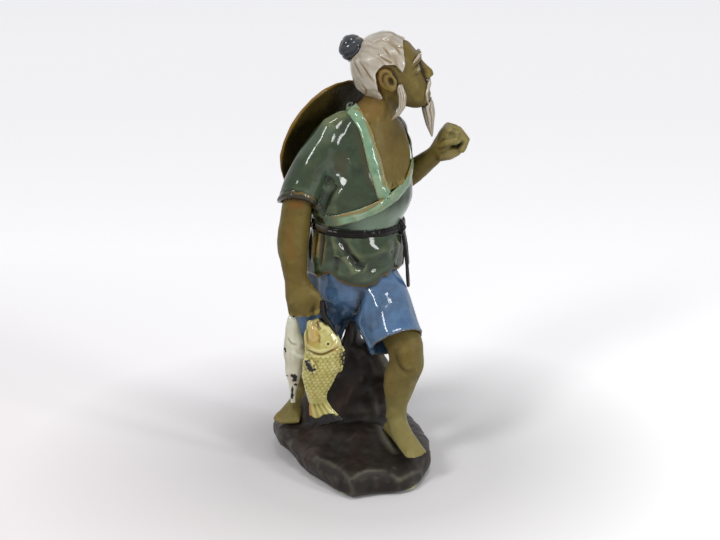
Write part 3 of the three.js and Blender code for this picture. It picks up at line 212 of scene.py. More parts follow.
class Form:
    def __init__(self, name, *nodes, added=None, grain=0.75, spread=1.5, cap=0.6):
        """One skin over copies of the nodes, its points a grain apart, smoothed over a spread."""
        soft = bmesh.new()
        for node in nodes:
            soft.from_mesh(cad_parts[node].data)
        if added:
            soft.from_mesh(added)
        bmesh.ops.remove_doubles(soft, verts=soft.verts, dist=SAME_CORNER)
        soft.normal_update()
        for vert in soft.verts:
            vert.co += vert.normal * SEAM_SWELL * MM
        mesh = bpy.data.meshes.new(name)
        soft.to_mesh(mesh)
        soft.free()
        self.piece = new_piece(name, mesh)
        self.fuse(grain)
        points, self.edges = mesh_arrays(self.piece.data)
        self.points = to_own(points)
        self.grain = grain
        self.marks = {}
        self.settle(spread, cap)
        self.points -= SEAM_SWELL * self.normals
        self.look()
        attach(self.piece, "root")
        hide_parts(*nodes)

    def fuse(self, grain):
        """Replace what overlaps by one closed skin."""
        remesh = self.piece.modifiers.new("fuse", "REMESH")
        remesh.mode = "VOXEL"
        remesh.voxel_size = grain * MM
        remesh.adaptivity = 0
        graph = bpy.context.evaluated_depsgraph_get()
        mesh = bpy.data.meshes.new_from_object(self.piece.evaluated_get(graph))
        self.piece.modifiers.clear()
        self.piece.data = mesh

    def look(self):
        """Write the points to the mesh, and read the normals anew."""
        mesh = self.piece.data
        mesh.vertices.foreach_set("co", to_frame(self.points).ravel())
        mesh.update()
        normals = np.empty(len(mesh.vertices) * 3)
        mesh.vertices.foreach_get("normal", normals)
        self.normals = normals.reshape(-1, 3)
        self.tree = None

    def skin(self):
        """The tree that rays and nearest points are found with."""
        if self.tree is None:
            corners = np.empty(len(self.piece.data.loops), dtype=np.int64)
            self.piece.data.loops.foreach_get("vertex_index", corners)
            faces = corners.reshape(-1, 4).tolist()
            self.tree = BVHTree.FromPolygons(self.points.tolist(), faces)
        return self.tree

    def settle(self, spread, cap, where=None):
        """Smooth over a spread, moving no point by more than the cap, and only where it is asked."""
        share = 0.5 if where is None else 0.5 * where[:, None]
        rounds = max(1, round(ROUNDS_PER_GRAIN * (spread / self.grain) ** 2))
        points = self.points
        for _ in range(rounds):
            points = points + share * (neighbour_mean(points, self.edges) - points)
        move = points - self.points
        length = np.linalg.norm(move, axis=1, keepdims=True)
        self.points = self.points + move * np.minimum(1, cap / np.maximum(length, 1e-9))
        self.look()

    def on(self, places):
        """The places on the skin that lie nearest to a smooth path through these."""
        tree = self.skin()
        return np.array([tree.find_nearest(place)[0] for place in smooth_path(places)])

    def seen(self, pixels):
        """The path on the skin that covers a line of pixels of the photograph."""
        tree = self.skin()
        middle = Vector(self.points.mean(axis=0))
        places = []
        for u, v in pixels:
            direction = photo_ray(u, v)
            place = tree.ray_cast(CAMERA_PLACE, direction)[0]
            if place is None:
                reach = (middle - CAMERA_PLACE).dot(direction)
                place = tree.find_nearest(CAMERA_PLACE + direction * reach)[0]
            places.append(place)
        return self.on(places) if len(places) > 1 else np.array(places)

    def near(self, path, width, fade=0.25):
        """How near each point lies to a path on its side: 1 on it, less over the width and ends."""
        path = np.asarray(path, dtype=float)
        reach = SPREAD_REACH * width
        low, high = path.min(axis=0) - reach, path.max(axis=0) + reach
        inside = np.flatnonzero(((self.points > low) & (self.points < high)).all(axis=1))
        tree = self.skin()
        outward = np.array([tree.find_nearest(place)[1] for place in path])
        share = np.linspace(0, 1, len(path))
        taper = np.ones(len(path))
        if fade:
            taper = np.sqrt(np.clip(np.minimum(share, 1 - share) / fade, 0, 1))
        weight = np.zeros(len(self.points))
        for part in np.array_split(inside, 1 + len(inside) * len(path) // BATCH):
            squared = ((self.points[part][:, None] - path[None]) ** 2).sum(axis=2)
            closest = squared.argmin(axis=1)
            distance = squared[np.arange(len(part)), closest]
            facing = (self.normals[part] * outward[closest]).sum(axis=1)
            same_side = ramp(facing, *SAME_SIDE)
            weight[part] = np.exp(-distance / width ** 2) * taper[closest] * same_side
        return weight

    def mark(self, **shares):
        """Give a share of another glaze or of painted light and shade, keeping the larger of old and
        new.
        """
        for name, share in shares.items():
            old = self.marks.get(name, 0)
            self.marks[name] = np.maximum(old, np.clip(share, 0, 1))

    def carve(self, path, width, depth, fade=0.25, **shares):
        """Push a furrow, or with a positive depth draw up a ridge, along a path."""
        weight = self.near(path, width, fade)
        self.points = self.points + depth * weight[:, None] * self.normals
        self.mark(**{name: share * weight for name, share in shares.items()})

    def draw(self, pixels, width, depth, fade=0.25, **shares):
        """Carve along a line of pixels of the photograph."""
        self.carve(self.seen(pixels), width, depth, fade, **shares)

    def blot(self, pixels, width, name, seed, raised=0.0):
        """A crisp, ragged patch of another glaze along a line of pixels."""
        weight = self.near(self.seen(pixels), width, fade=0)
        ragged = weight + 0.22 * ripple(self.points, BLOT_TEETH, seed)
        share = ramp(ragged, *BLOT_EDGE) * (weight > 0.02)
        self.mark(**{name: share})
        if raised:
            self.push(raised * share)

    def push(self, amount):
        """Move each point along its normal."""
        self.points = self.points + amount[:, None] * self.normals

    def roughen(self, *waves):
        """Push by ripples, each a height, a size and a seed."""
        self.push(sum(height * ripple(self.points, size, seed) for height, size, seed in waves))

    def above(self, low, high):
        """A soft step from 0 at one height to 1 at another."""
        return ramp(self.points[:, 2], low, high)

    def below(self, low, high):
        return 1 - self.above(low, high)

    def walk(self, start, reach):
        """The distance over the skin from the points where start is true, up to reach."""
        distance = np.where(start, 0.0, FAR)
        a, b = self.edges[:, 0], self.edges[:, 1]
        length = np.linalg.norm(self.points[a] - self.points[b], axis=1)
        for _ in range(int(reach / self.grain * 1.5) + 1):
            there, back = distance[a] + length, distance[b] + length
            np.minimum.at(distance, b, there)
            np.minimum.at(distance, a, back)
        return distance

    def done(self, coat, crest=0.3):
        """Write the points and marks, and how far each point stands out from those around it."""
        self.look()
        around = self.points
        for _ in range(max(6, round(2 * (CREST_REACH / self.grain) ** 2))):
            around = neighbour_mean(around, self.edges)
        stand = ((self.points - around) * self.normals).sum(axis=1) / crest
        self.marks["crest"] = np.clip(stand, -1, 1)
        for name, share in self.marks.items():
            layer = self.piece.data.attributes.new(name, "FLOAT", "POINT")
            layer.data.foreach_set("value", np.asarray(share, dtype=np.float32))
        coat_piece(self.piece, coat)
        print(f"{self.piece.name}: {len(self.points)} points")


# %% [markdown]
# Every glaze here is glass over clay: it runs thin and warm over edges and gathers dark in furrows.
# So one builder makes them all. Object noise mottles the colour, the crest attribute thins or pools
# it, each mark lays another colour over it, and a faint bump gives the dimpled surface of real glaze.

# %% What every glaze needs
MIX_SHARE, MIX_BELOW, MIX_ABOVE = 0, 6, 7       # the sockets of a Mix node for colours
SPECK_SIZE, DIMPLE_SIZE = 1.1, 1.6


def colour(red, green, blue):
    """A colour as it looks on a screen, 0 to 255, as the shader's linear values."""
    return (*[(c / 12.92 if c <= 0.04045 else ((c + 0.055) / 1.055) ** 2.4)
              for c in (red / 255, green / 255, blue / 255)], 1)


def new_coat(name):
    """A material, its tree and its shader."""
    coat = bpy.data.materials.new(name)
    coat.use_nodes = True
    return coat, coat.node_tree, coat.node_tree.nodes["Principled BSDF"]


def new_node(tree, kind, **settings):
    node = tree.nodes.new("ShaderNode" + kind)
    for name, value in settings.items():
        setattr(node, name, value)
    return node


def noise(tree, size, detail=3):
    """Noise whose patches are about size mm wide, on the piece's own place in the frame."""
    place = new_node(tree, "TexCoord")
    texture = new_node(tree, "TexNoise")
    texture.inputs["Scale"].default_value = 1 / (size * MM)
    texture.inputs["Detail"].default_value = detail
    tree.links.new(place.outputs["Object"], texture.inputs["Vector"])
    return texture.outputs["Fac"]


def spread(tree, value, low, high, start=0, end=1):
    """A value's range from low to high, laid over start to end."""
    node = new_node(tree, "MapRange")
    for socket, number in zip(("From Min", "From Max", "To Min", "To Max"), (low, high, start, end)):
        node.inputs[socket].default_value = number
    tree.links.new(value, node.inputs["Value"])
    return node.outputs["Result"]


def blend(tree, share, below, above):
    """Lay one colour over another, each a socket or fixed, by a share that is a socket."""
    node = new_node(tree, "Mix", data_type="RGBA")
    tree.links.new(share, node.inputs[MIX_SHARE])
    for socket, tone in ((MIX_BELOW, below), (MIX_ABOVE, above)):
        if isinstance(tone, tuple):
            node.inputs[socket].default_value = tone
        else:
            tree.links.new(tone, node.inputs[socket])
    return node.outputs[2]


def arithmetic(tree, operation, one, other):
    node = new_node(tree, "Math", operation=operation)
    tree.links.new(one, node.inputs[0])
    tree.links.new(other, node.inputs[1])
    return node.outputs[0]


def dimple(tree, shader, height, strength, distance):
    """A faint bump, whose height is a socket and whose distance is in mm."""
    node = new_node(tree, "Bump")
    node.inputs["Strength"].default_value = strength
    node.inputs["Distance"].default_value = distance * MM
    tree.links.new(height, node.inputs["Height"])
    tree.links.new(node.outputs["Normal"], shader.inputs["Normal"])


def mark_of(tree, name):
    return new_node(tree, "Attribute", attribute_name=name).outputs["Fac"]


def glaze(name, tones, size=22, thin=None, pool=None, marks=(), gloss=0.1, dimples=0.25,
          speck=None, fine=0.3, thin_at=(0.25, 1), pool_at=(-0.15, -0.9), mirror=0.5):
    """Mottled tones, thin on crests, pooled in furrows, with marks of glazes and painted light and
    shade.
    """
    coat, tree, shader = new_coat(name)
    mottle = new_node(tree, "ValToRGB")
    elements = mottle.color_ramp.elements
    while len(elements) < len(tones):
        elements.new(0.5)
    for index, tone in enumerate(tones):
        elements[index].position = 0.3 + 0.4 * index / (len(tones) - 1)
        elements[index].color = colour(*tone)
    tree.links.new(noise(tree, size, 4), mottle.inputs["Fac"])
    surface = mottle.outputs["Color"]
    grainy = spread(tree, noise(tree, size / 7, 5), 0.3, 0.7, 0, fine)
    surface = blend(tree, grainy, surface, colour(*tones[0]))
    if pool:
        furrow = spread(tree, mark_of(tree, "crest"), *pool_at)
        surface = blend(tree, furrow, surface, colour(*pool))
    if thin:
        crest = spread(tree, mark_of(tree, "crest"), *thin_at)
        surface = blend(tree, crest, surface, colour(*thin))
    for mark, tone in marks:
        surface = blend(tree, mark_of(tree, mark), surface, colour(*tone))
    if speck:
        speckle = spread(tree, noise(tree, SPECK_SIZE, 1), 0.68, 0.74)
        surface = blend(tree, speckle, surface, colour(*speck))
    tree.links.new(surface, shader.inputs["Base Color"])
    shine = spread(tree, noise(tree, size / 3, 3), 0.3, 0.7, gloss * 0.75, gloss * 1.35)
    tree.links.new(shine, shader.inputs["Roughness"])
    shader.inputs["Specular IOR Level"].default_value = mirror
    dimple(tree, shader, noise(tree, DIMPLE_SIZE, 2), dimples, 0.12)
    return coat


# %% [markdown]
# The potter used few glazes: green and celadon on the robe, blue on the shorts, white on the hair, and
# yellow, white and black on the fish. Skin is bare clay and the rock a thin slip. Each row says which
# tones are mixed in it, then how it looks where it is thin, where it pools, and where it is marked.

# %% The glazes of this figure
# The dark mark that each glaze lays in creases, folds and hollows is painted shade; on the lapels it
# also gives darker mottled patches of celadon, and above the robe's hem a darker glaze. Bare clay has
# no glaze to pool, so the skin's pool colour is painted shade in its furrows.
SKIN = glaze("bare clay", [(92, 77, 36), (114, 100, 50), (103, 84, 38)], size=26,
             thin=(140, 122, 66), pool=(48, 36, 16), gloss=0.46, dimples=0.3, mirror=0.2,
             speck=(80, 64, 34), thin_at=(0.35, 1.3),
             marks=[("warm", (124, 82, 34)), ("fair", (142, 132, 82)), ("shade", (76, 64, 34)),
                    ("deep", (48, 36, 16)), ("white", (180, 174, 148)), ("black", (20, 18, 16))])
# The green glaze's pale mark gives paler patches, and on two ridges a painted highlight.
GREEN = glaze("green glaze", [(36, 50, 32), (52, 68, 46), (50, 60, 38), (70, 90, 70)],
              size=18, thin=(98, 106, 72), pool=(20, 25, 15), gloss=0.07, speck=(60, 70, 48),
              mirror=0.34, marks=[("pale", (112, 130, 106)), ("deep", (18, 20, 13)),
                                  ("brown", (70, 54, 26)), ("gold", (170, 118, 40)),
                                  ("celadon", (112, 132, 112)), ("rim", (42, 31, 26))])
CELADON = glaze("celadon glaze",
                [(124, 150, 112), (136, 164, 132), (108, 146, 116), (146, 170, 146)], size=12,
                thin=(142, 136, 84), pool=(92, 96, 56), gloss=0.07, thin_at=(0.6, 1.8), mirror=0.42,
                marks=[("brown", (118, 94, 46)), ("deep", (66, 108, 80)), ("robe", (52, 70, 48)),
                       ("gold", (138, 108, 42))])
SASH = glaze("sash glaze", [(13, 12, 10), (21, 18, 16), (16, 16, 15)], size=10,
             thin=(32, 29, 26), pool=(7, 7, 6), gloss=0.1, mirror=0.12,
             marks=[("pale", (112, 110, 100)), ("gold", (168, 118, 46))])
BLUE = glaze("blue glaze",
             [(66, 98, 138), (84, 118, 154), (72, 98, 128), (96, 124, 150)],
             size=15, thin=(104, 126, 146), pool=(28, 42, 58), gloss=0.08, speck=(88, 112, 132),
             thin_at=(0.5, 1.5), mirror=0.42, marks=[("gold", (92, 76, 44)), ("deep", (22, 32, 42))])
ROCK = glaze("rock slip",
             [(35, 29, 25), (48, 39, 34), (34, 32, 28), (52, 41, 36)], size=30,
             thin=(80, 76, 66), pool=(15, 13, 11), gloss=0.42, dimples=0.5, fine=0.5, mirror=0.22,
             marks=[("pale", (104, 101, 90)), ("brown", (68, 52, 42)), ("deep", (14, 12, 10))])
HAIR = glaze("white hair glaze", [(172, 163, 146), (188, 180, 163), (165, 153, 141)],
             size=14, thin=(206, 200, 186), pool=(136, 118, 82), gloss=0.1, pool_at=(-0.25, -1.3),
             mirror=0.4, marks=[("shade", (138, 120, 100)), ("gold", (118, 92, 40)),
                                ("tip", (150, 106, 58))])
BUN = glaze("bun glaze", [(18, 24, 30), (30, 39, 50), (22, 26, 32)], size=8,
            thin=(56, 60, 62), pool=(9, 11, 14), gloss=0.07, mirror=0.42,
            marks=[("gold", (134, 98, 60))])
STRAW = glaze("straw glaze", [(64, 54, 24), (86, 71, 32), (54, 46, 21)], size=24,
              thin=(120, 92, 32), pool=(44, 37, 17), gloss=0.2, fine=0.5, thin_at=(0.5, 1.4),
              mirror=0.2, marks=[("deep", (34, 29, 14)), ("gold", (142, 104, 30))])
CARP = glaze("carp glaze", [(186, 176, 100), (172, 164, 84), (198, 190, 118)], size=9,
             thin=(212, 204, 140), pool=(112, 90, 34), gloss=0.1, pool_at=(-0.1, -0.9), mirror=0.42,
             marks=[("orange", (184, 132, 56)), ("brown", (106, 82, 30)), ("black", (12, 10, 7))])
WHITE = glaze("white fish glaze", [(206, 204, 176), (218, 214, 192), (204, 188, 168)],
              size=11, thin=(230, 230, 212), pool=(140, 138, 104), gloss=0.08, mirror=0.42,
              marks=[("shade", (160, 158, 122)), ("black", (14, 12, 8))])
CORD = glaze("cord glaze", [(10, 9, 7), (20, 17, 13)], size=6, thin=(48, 42, 34),
             gloss=0.2, mirror=0.3)

# %% [markdown]
# The robe's upper part is a thin slab of clay, wrapped round the body and over the shoulders, so its
# sleeves run into it without a seam. Its folds are few and soft. The sleeves end in a rolled lip,
# where the glaze hangs dark under a golden edge.

# %% Robe above the waist
RIGHT_MOUTH = np.array((-36.0, -21.0, 185.0))       # the sleeves' ends, and which way they face
RIGHT_DOWN = np.array((-0.216, -0.108, -0.970))
LEFT_MOUTH = np.array((27.5, 33.0, 187.0))
LEFT_DOWN = np.array((0.164, 0.0, -0.986))
SLEEVE_RING, SLEEVE_RIM, SLEEVE_END = 12.2, 22, 14
robe = Form("robe_top", "tunic_body", "right_sleeve", "left_sleeve", grain=0.85, spread=2.8, cap=0.8)


def sleeve_end(form, mouth, down):
    """The flat ring at a sleeve's end, told from the shut bottom of its bore by its width."""
    offset = form.points - mouth
    along = offset @ down
    radius = np.linalg.norm(offset - along[:, None] * down, axis=1)
    ring = (radius > SLEEVE_RING) & (radius < SLEEVE_RIM) & (np.abs(along) < SLEEVE_END)
    return ring & (form.normals @ down > 0.7)


def rolled_lip(form, end, width, height):
    """A rolled lip beside an edge: a dark roll, then a furrow with a golden line."""
    distance = form.walk(end, width * 3)
    roll = bump(distance, width * 0.42, width * 0.5)
    form.push(height * roll - 0.6 * height * bump(distance, width * 1.3, 1.0))
    patchy = ramp(ripple(form.points, 9, 50), -0.4, 0.8)
    form.mark(rim=0.85 * (1 - ramp(distance, width * 0.7, width * 1.1)),
              gold=0.75 * patchy * bump(distance, width * 1.05, 0.5))


def smooth_beside(form, pixels, reach, spread, cap, strength=1.6, fade=0):
    """Wipe the clay smooth along a line of pixels."""
    wiped = np.clip(strength * form.near(form.seen(pixels), reach, fade), 0, 1)
    form.settle(spread, cap, where=wiped)


SHOULDER_SEAM = [(347, 132), (343, 148), (338, 165), (334, 180)]
smooth_beside(robe, SHOULDER_SEAM, 9, 5.5, 2.6, fade=0.1)
rolled_lip(robe, sleeve_end(robe, RIGHT_MOUTH, RIGHT_DOWN), 3.6, 0.7)
rolled_lip(robe, sleeve_end(robe, LEFT_MOUTH, LEFT_DOWN), 3.0, 0.6)

# %% [markdown]
# The arm pulls a few folds into the slab: two at the armpit, one over the arm and one down the chest.
# Beside the lapel the clay is wiped smooth. Under the band and in the armpit furrow lies painted
# shade, and on the sleeve a painted highlight. The back has a furrow along the spine and one beside
# each shoulder blade.

# %% Folds of the robe
ARMPIT = [(336, 184), (330, 194), (325, 205), (322, 216)]
ARMPIT_SIDE = [(341, 189), (336, 200), (334, 214)]
ARM_FOLD = [(334, 172), (325, 176), (314, 176)]
CHEST_FOLD = [(340, 150), (341, 164), (337, 176)]
LAPEL_SIDE = [(351, 122), (358, 140), (363, 160), (368, 178), (375, 196)]
UNDER_BAND = [(318, 218), (328, 221), (340, 224.5), (352, 227.5), (364, 229.5)]
BREAST = [(352, 150), (356, 166), (362, 182), (370, 196)]
SLEEVE_GLINT = [(322, 187), (330, 190), (336, 187)]
NECK_SIDE = [(329, 123), (338, 119), (346, 116)]
SPINE = [(-2, 33, 225), (-3, 37, 205), (-4, 33, 182)]
# The dark along the armpit furrow is painted shade.
robe.draw(ARMPIT, 2.2, -1.1, deep=0.5)
robe.draw(ARMPIT_SIDE, 3.2, 0.6)
robe.draw(ARM_FOLD, 4.0, -0.5)
robe.draw(CHEST_FOLD, 4.5, -0.3, brown=0.45)
smooth_beside(robe, LAPEL_SIDE, 4.5, 3.2, 1.6)
robe.draw(LAPEL_SIDE, 1.6, 0, brown=0.5)
# A dark line under the band, without relief, is painted shade.
robe.draw(UNDER_BAND, 2.6, 0, fade=0, deep=0.9)
robe.draw(BREAST, 5, 0.5)
# The pale along this small ridge is a painted highlight.
robe.draw(SLEEVE_GLINT, 2.2, 0.3, pale=0.3)
robe.draw(NECK_SIDE, 6, 3.2, fade=0)
robe.carve(robe.on(SPINE), 5, -0.9)
for side in (-1, 1):
    blade = [(side * 14 - 2, 30, 214), (side * 12 - 3, 33, 196), (side * 18, 26, 178)]
    robe.carve(robe.on(blade), 4, -0.8)
robe.roughen((0.35, 16, 1), (0.1, 6, 2))
FRONT = np.array((0.8, -0.6, 0))
robe.mark(celadon=ramp(190 - robe.points[:, 2], 0, 12) * ramp(robe.points @ FRONT, 12, 26),
          pale=0.25 * ramp(ripple(robe.points, 14, 3), 0.4, 1.6))
robe.done(GREEN)

# %% [markdown]
# The skirt of the robe hangs from the sash in swags: one deep valley sweeps from the left hip to the
# front and up again, with a ridge beside it, and small pleats bunch at the right hip. Each was drawn
# with a stick and softened, so each is a carved path here, as the photograph shows it.

# %% Robe below the waist
skirt = Form("robe_skirt", "tunic_skirt", grain=0.7, spread=2.2, cap=0.8)
SWAG_VALLEY = [(338, 236), (344, 246), (350, 256), (357, 264), (365, 268)]
SWAG_RISE = [(367, 269), (379, 267), (390, 257), (397, 243)]
SWAG_BELLY = [(370, 244), (380, 249), (387, 250)]
LEFT_VALLEY = [(338, 258), (335, 267), (333, 275)]
LEFT_RIDGE = [(344, 256), (350, 266), (356, 275)]
HIP_RIDGE = [(331, 235), (334, 247), (336, 258)]
RIGHT_RIDGE = [(397, 240), (396, 254), (392, 268)]
skirt.draw(SWAG_BELLY, 9, 1.1, fade=0)
# The dark laid along this valley and the left valley below is painted shade.
skirt.draw(SWAG_VALLEY, 2.6, -2.6, deep=0.6)
skirt.draw(SWAG_RISE, 4.5, -0.9)
skirt.draw(LEFT_VALLEY, 2.6, -1.5, deep=0.35)
skirt.draw(HIP_RIDGE, 2.6, 1.0)
# The pale along this ridge is a painted highlight.
skirt.draw(LEFT_RIDGE, 2.8, 0.8, pale=0.1)
skirt.draw(RIGHT_RIDGE, 2.0, 0.8)
# Each pleat is three pixels of its furrow, then how golden and how brown it is.
PLEATS = [((312, 230), (311, 247), (310.5, 262), 0.5, 0.75),
          ((317.5, 231), (316, 243), (315, 258), 0.35, 0.5),
          ((323, 233), (322, 247), (320, 266), 0.1, 0.6)]
PLEAT_STEP = 2.6
for *pleat, golden, browned in PLEATS:
    skirt.draw(pleat, 1.5, -0.7, brown=browned)
    skirt.draw([(u + PLEAT_STEP, v) for u, v in pleat], 1.3, 0.5, gold=golden)
BACK_PLEATS = [(-24, 14), (-14, 24), (-2, 29), (12, 29)]
DROP = [(0.92, 168), (1.02, 154), (1.12, 140)]      # how far out the skirt is at each height
for index, (x, y) in enumerate(BACK_PLEATS):
    drop = [(x * out, y * out, height) for out, height in DROP]
    skirt.carve(skirt.on(drop), 2.2, -1.2 if index % 2 else 1.0, fade=0.4)

# %% [markdown]
# The hem is wiped with a wet finger, which rounds it and draws up a small lip. There the glaze runs
# off the edge and leaves it gold, with brown and then dark above.

# %% Hem of the robe
UNDERSIDE, HEM_TOP, HEM_REACH = -0.75, 150, 8
underside = (skirt.normals[:, 2] < UNDERSIDE) & (skirt.points[:, 2] < HEM_TOP)
hem = skirt.walk(underside, HEM_REACH)
skirt.settle(4, 1.2, where=1 - ramp(hem, HEM_REACH / 2, HEM_REACH))
skirt.push(0.35 * bump(hem, 1.6, 1.6))
skirt.mark(gold=0.3 * bump(hem, 0.4, 1.1), brown=0.7 * bump(hem, 1.4, 1.4),
           deep=0.4 * bump(hem, 3, 1.5))
skirt.roughen((0.3, 14, 4), (0.08, 5, 5))
skirt.mark(pale=0.2 * ramp(ripple(skirt.points, 12, 6), 0.6, 1.6))
skirt.done(GREEN)

# %% [markdown]
# The lapels are two strips of clay, laid over the robe and crossing under the breast. They carry the
# paler celadon glaze, with piping along the neck where the glaze breaks to gold.

# %% Lapels
RIGHT_NECK = [(355.6, 100), (362.5, 109), (368.8, 122.5), (375, 138.5), (380, 155), (384, 171),
              (387, 188)]
RIGHT_OUTER = [(345, 112.5), (350.5, 119.5), (358.5, 132.5), (363.5, 150), (368.5, 170), (375.5, 194),
               (379, 203)]
LEFT_NECK = [(405, 125), (410, 147), (409, 158), (406, 168), (401, 178), (393, 187), (388, 191),
             (378, 200), (362, 209), (346, 213), (331, 216)]
LEFT_STRIPE = [(412, 160), (409, 178), (401, 192), (388, 203), (370, 213), (350, 219)]
BAND_FOOT = (389.5, 194)        # the pixel where the right band goes under the left one
# The band's section: shares of the way from its inner edge to its outer one, and mm above the line
# between the two.
BAND_SECTION = [(0.04, -1.6), (0.5, -1.0), (0.96, -0.8), (1.0, 0.4), (0.97, 1.1), (0.85, 1.45),
                (0.5, 1.15), (0.15, 0.45), (0.03, 0.15), (0.0, -0.4)]
BAND_STATIONS = 48
BAND_OVER_SKIN = 1.1
BAND_TUCK, TUCKED_SHARE = 0.9, 0.12


def stations(path, count):
    """A count of evenly spaced places along a path."""
    steps = np.linalg.norm(np.diff(path, axis=0), axis=1)
    along = np.concatenate([[0], np.cumsum(steps)])
    wanted = np.linspace(0, along[-1], count)
    return np.stack([np.interp(wanted, along, path[:, axis]) for axis in range(3)], axis=1)


def node_tree(node):
    """A tree to find places on a node, and the node's middle."""
    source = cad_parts[node].data
    corners = to_own(mesh_arrays(source)[0])
    faces = [tuple(face.vertices) for face in source.polygons]
    return BVHTree.FromPolygons(corners.tolist(), faces), Vector(corners.mean(axis=0))


def inner_edge(node, pixels):
    """Where a band's inner edge runs: on its node, or over the throat where the node falls short."""
    own, throat = node_tree(node)[0], node_tree("chest_neck")
    places = []
    for u, v in pixels:
        ray = photo_ray(u, v)
        on_node, on_throat = own.ray_cast(CAMERA_PLACE, ray), throat[0].ray_cast(CAMERA_PLACE, ray)
        if on_node[0] and (not on_throat[0] or on_node[3] < on_throat[3]):
            places.append(on_node[0])
            continue
        if not on_throat[0]:
            reach = (throat[1] - CAMERA_PLACE).dot(ray)
            on_throat = throat[0].find_nearest(CAMERA_PLACE + reach * ray)
        places.append(on_throat[0] + BAND_OVER_SKIN * on_throat[1])
    return stations(smooth_path(places), BAND_STATIONS)


def band_mesh(node, inner, outer, below):
    """A strip of clay from a node's inner edge to a line on the clay below it."""
    strip = bmesh.new()
    rings = []
    tucks = BAND_TUCK * ramp(np.linspace(1, 0, BAND_STATIONS), 0, TUCKED_SHARE) - BAND_TUCK
    ends = stations(below.seen(outer), BAND_STATIONS)
    for start, end, tuck in zip(inner_edge(node, inner), ends, tucks):
        up = below.skin().find_nearest(Vector(end))[1]
        places = [Vector(start + share * (end - start)) + up * (lift + tuck)
                  for share, lift in BAND_SECTION]
        rings.append([strip.verts.new(to_frame(place)) for place in places])
    for ring, following in zip(rings, rings[1:]):
        for index in range(len(ring)):
            corners = ring[index - 1], ring[index], following[index], following[index - 1]
            strip.faces.new(corners)
    strip.faces.new(rings[0])
    strip.faces.new(rings[-1][::-1])
    bmesh.ops.recalc_face_normals(strip, faces=strip.faces)
    mesh = bpy.data.meshes.new("lapel_band")
    strip.to_mesh(mesh)
    strip.free()
    return mesh


# %% [markdown]
# The right band is laid on first and tucked under the left one, whose end is worn away at the hip. A
# roll of piping runs along each neck edge, with a groove beside it.

# %% Both lapels
WORN_WAY = np.array((0.97, 0.26, 0.0))
GROOVE_STEP = 2.3               # from the edge to the groove, in steps from the edge to the piping


def lapel(name, node, neck, outer, aside, added=None, worn_end=False):
    """A lapel, with its piping a few pixels aside of its neck edge."""
    form = Form(name, node, added=added, grain=0.5, spread=1.2, cap=0.5)
    form.settle(1.8, 0.9, where=form.above(224, 231))
    across, down = aside
    form.draw([(u + across, v + down) for u, v in neck], 0.9, 0.3, fade=0.05, gold=0.95)
    groove = [(u + GROOVE_STEP * across, v + GROOVE_STEP * down) for u, v in neck]
    form.draw(groove, 0.7, -0.3, fade=0.05, brown=0.4)
    form.draw(outer, 1.0, 0.1, fade=0.05, brown=0.3)
    if worn_end:
        worn = ramp(-26 - form.points @ WORN_WAY, -14, 3)
        form.push(-0.7 * worn)
        form.mark(robe=worn, brown=0.5 * bump(worn, 0.5, 0.3))
    form.roughen((0.16, 9, 7), (0.05, 4, 8))
    form.mark(deep=0.5 * ramp(ripple(form.points, 7, 9), 0.9, 1.6),
              brown=0.45 * ramp(ripple(form.points, 9, 10), 1.2, 1.9))
    form.done(CELADON, crest=0.24)


right_band = band_mesh("right_lapel", RIGHT_NECK + [BAND_FOOT], RIGHT_OUTER, robe)
lapel("lapel_right", "right_lapel", RIGHT_NECK, RIGHT_OUTER, aside=(-1.3, 0.3), added=right_band)
lapel("lapel_left", "left_lapel", LEFT_NECK, LEFT_STRIPE, aside=(0.9, 1.2), worn_end=True)

# %% [markdown]
# The sash is a strip of dark clay pressed round the waist, creased along its length like a rolled
# cloth, with a knot at the left hip and two ends that hang over the skirt.

# %% Sash, knot and ends
WAIST = np.array((3.2, 0.0, 171.0))
WAIST_FRONT, WAIST_SIDE = 28.8, 36.8        # half the waist's breadth both ways, over the sash
WAIST_TURN = math.radians(-45)
WAIST_SLANT = 0.09
sash = Form("waist_sash", "sash", "sash_knot", grain=0.5, spread=1.0, cap=0.4)


def round_waist(lift):
    """A path round the waist, which slants down to the left as the sash does."""
    angles = np.linspace(0, 2 * math.pi, 60)[::3]
    front = WAIST_FRONT * np.cos(angles)
    side = WAIST_SIDE * np.sin(angles)
    x = WAIST[0] + front * math.cos(WAIST_TURN) - side * math.sin(WAIST_TURN)
    y = WAIST[1] + front * math.sin(WAIST_TURN) + side * math.cos(WAIST_TURN)
    return np.stack([x, y, WAIST[2] + lift - WAIST_SLANT * (x - WAIST[0])], axis=1)


WORN_END = [(311, 221), (318, 225), (328, 229)]
GOLD_EDGE = [(311, 231), (318, 230), (327, 233)]
sash.carve(sash.on(round_waist(1.1)), 0.7, -0.45, fade=0)
sash.carve(sash.on(round_waist(-1.0)), 0.7, -0.35, fade=0)
sash.draw(WORN_END, 1.8, 0.2, pale=0.7)
sash.draw(GOLD_EDGE, 0.5, 0.1, gold=0.45)
sash.roughen((0.15, 8, 11), (0.06, 3, 12))
sash.done(SASH)

for length in ("long", "short"):
    end = Form("sash_end_" + length, "sash_tail_" + length, grain=0.4, spread=0.8, cap=0.35)
    middle = end.points.mean(axis=0)
    end.carve(end.on([middle + (4, -4, lift) for lift in (12, 4, -4, -12)]), 0.8, -0.4)
    end.roughen((0.12, 7, 13))
    end.done(SASH)

# %% [markdown]
# The short trousers are two wide tubes of clay joined at the crotch. Folds run from the hips to the
# hems, and the blue glaze breaks brown along each hem.

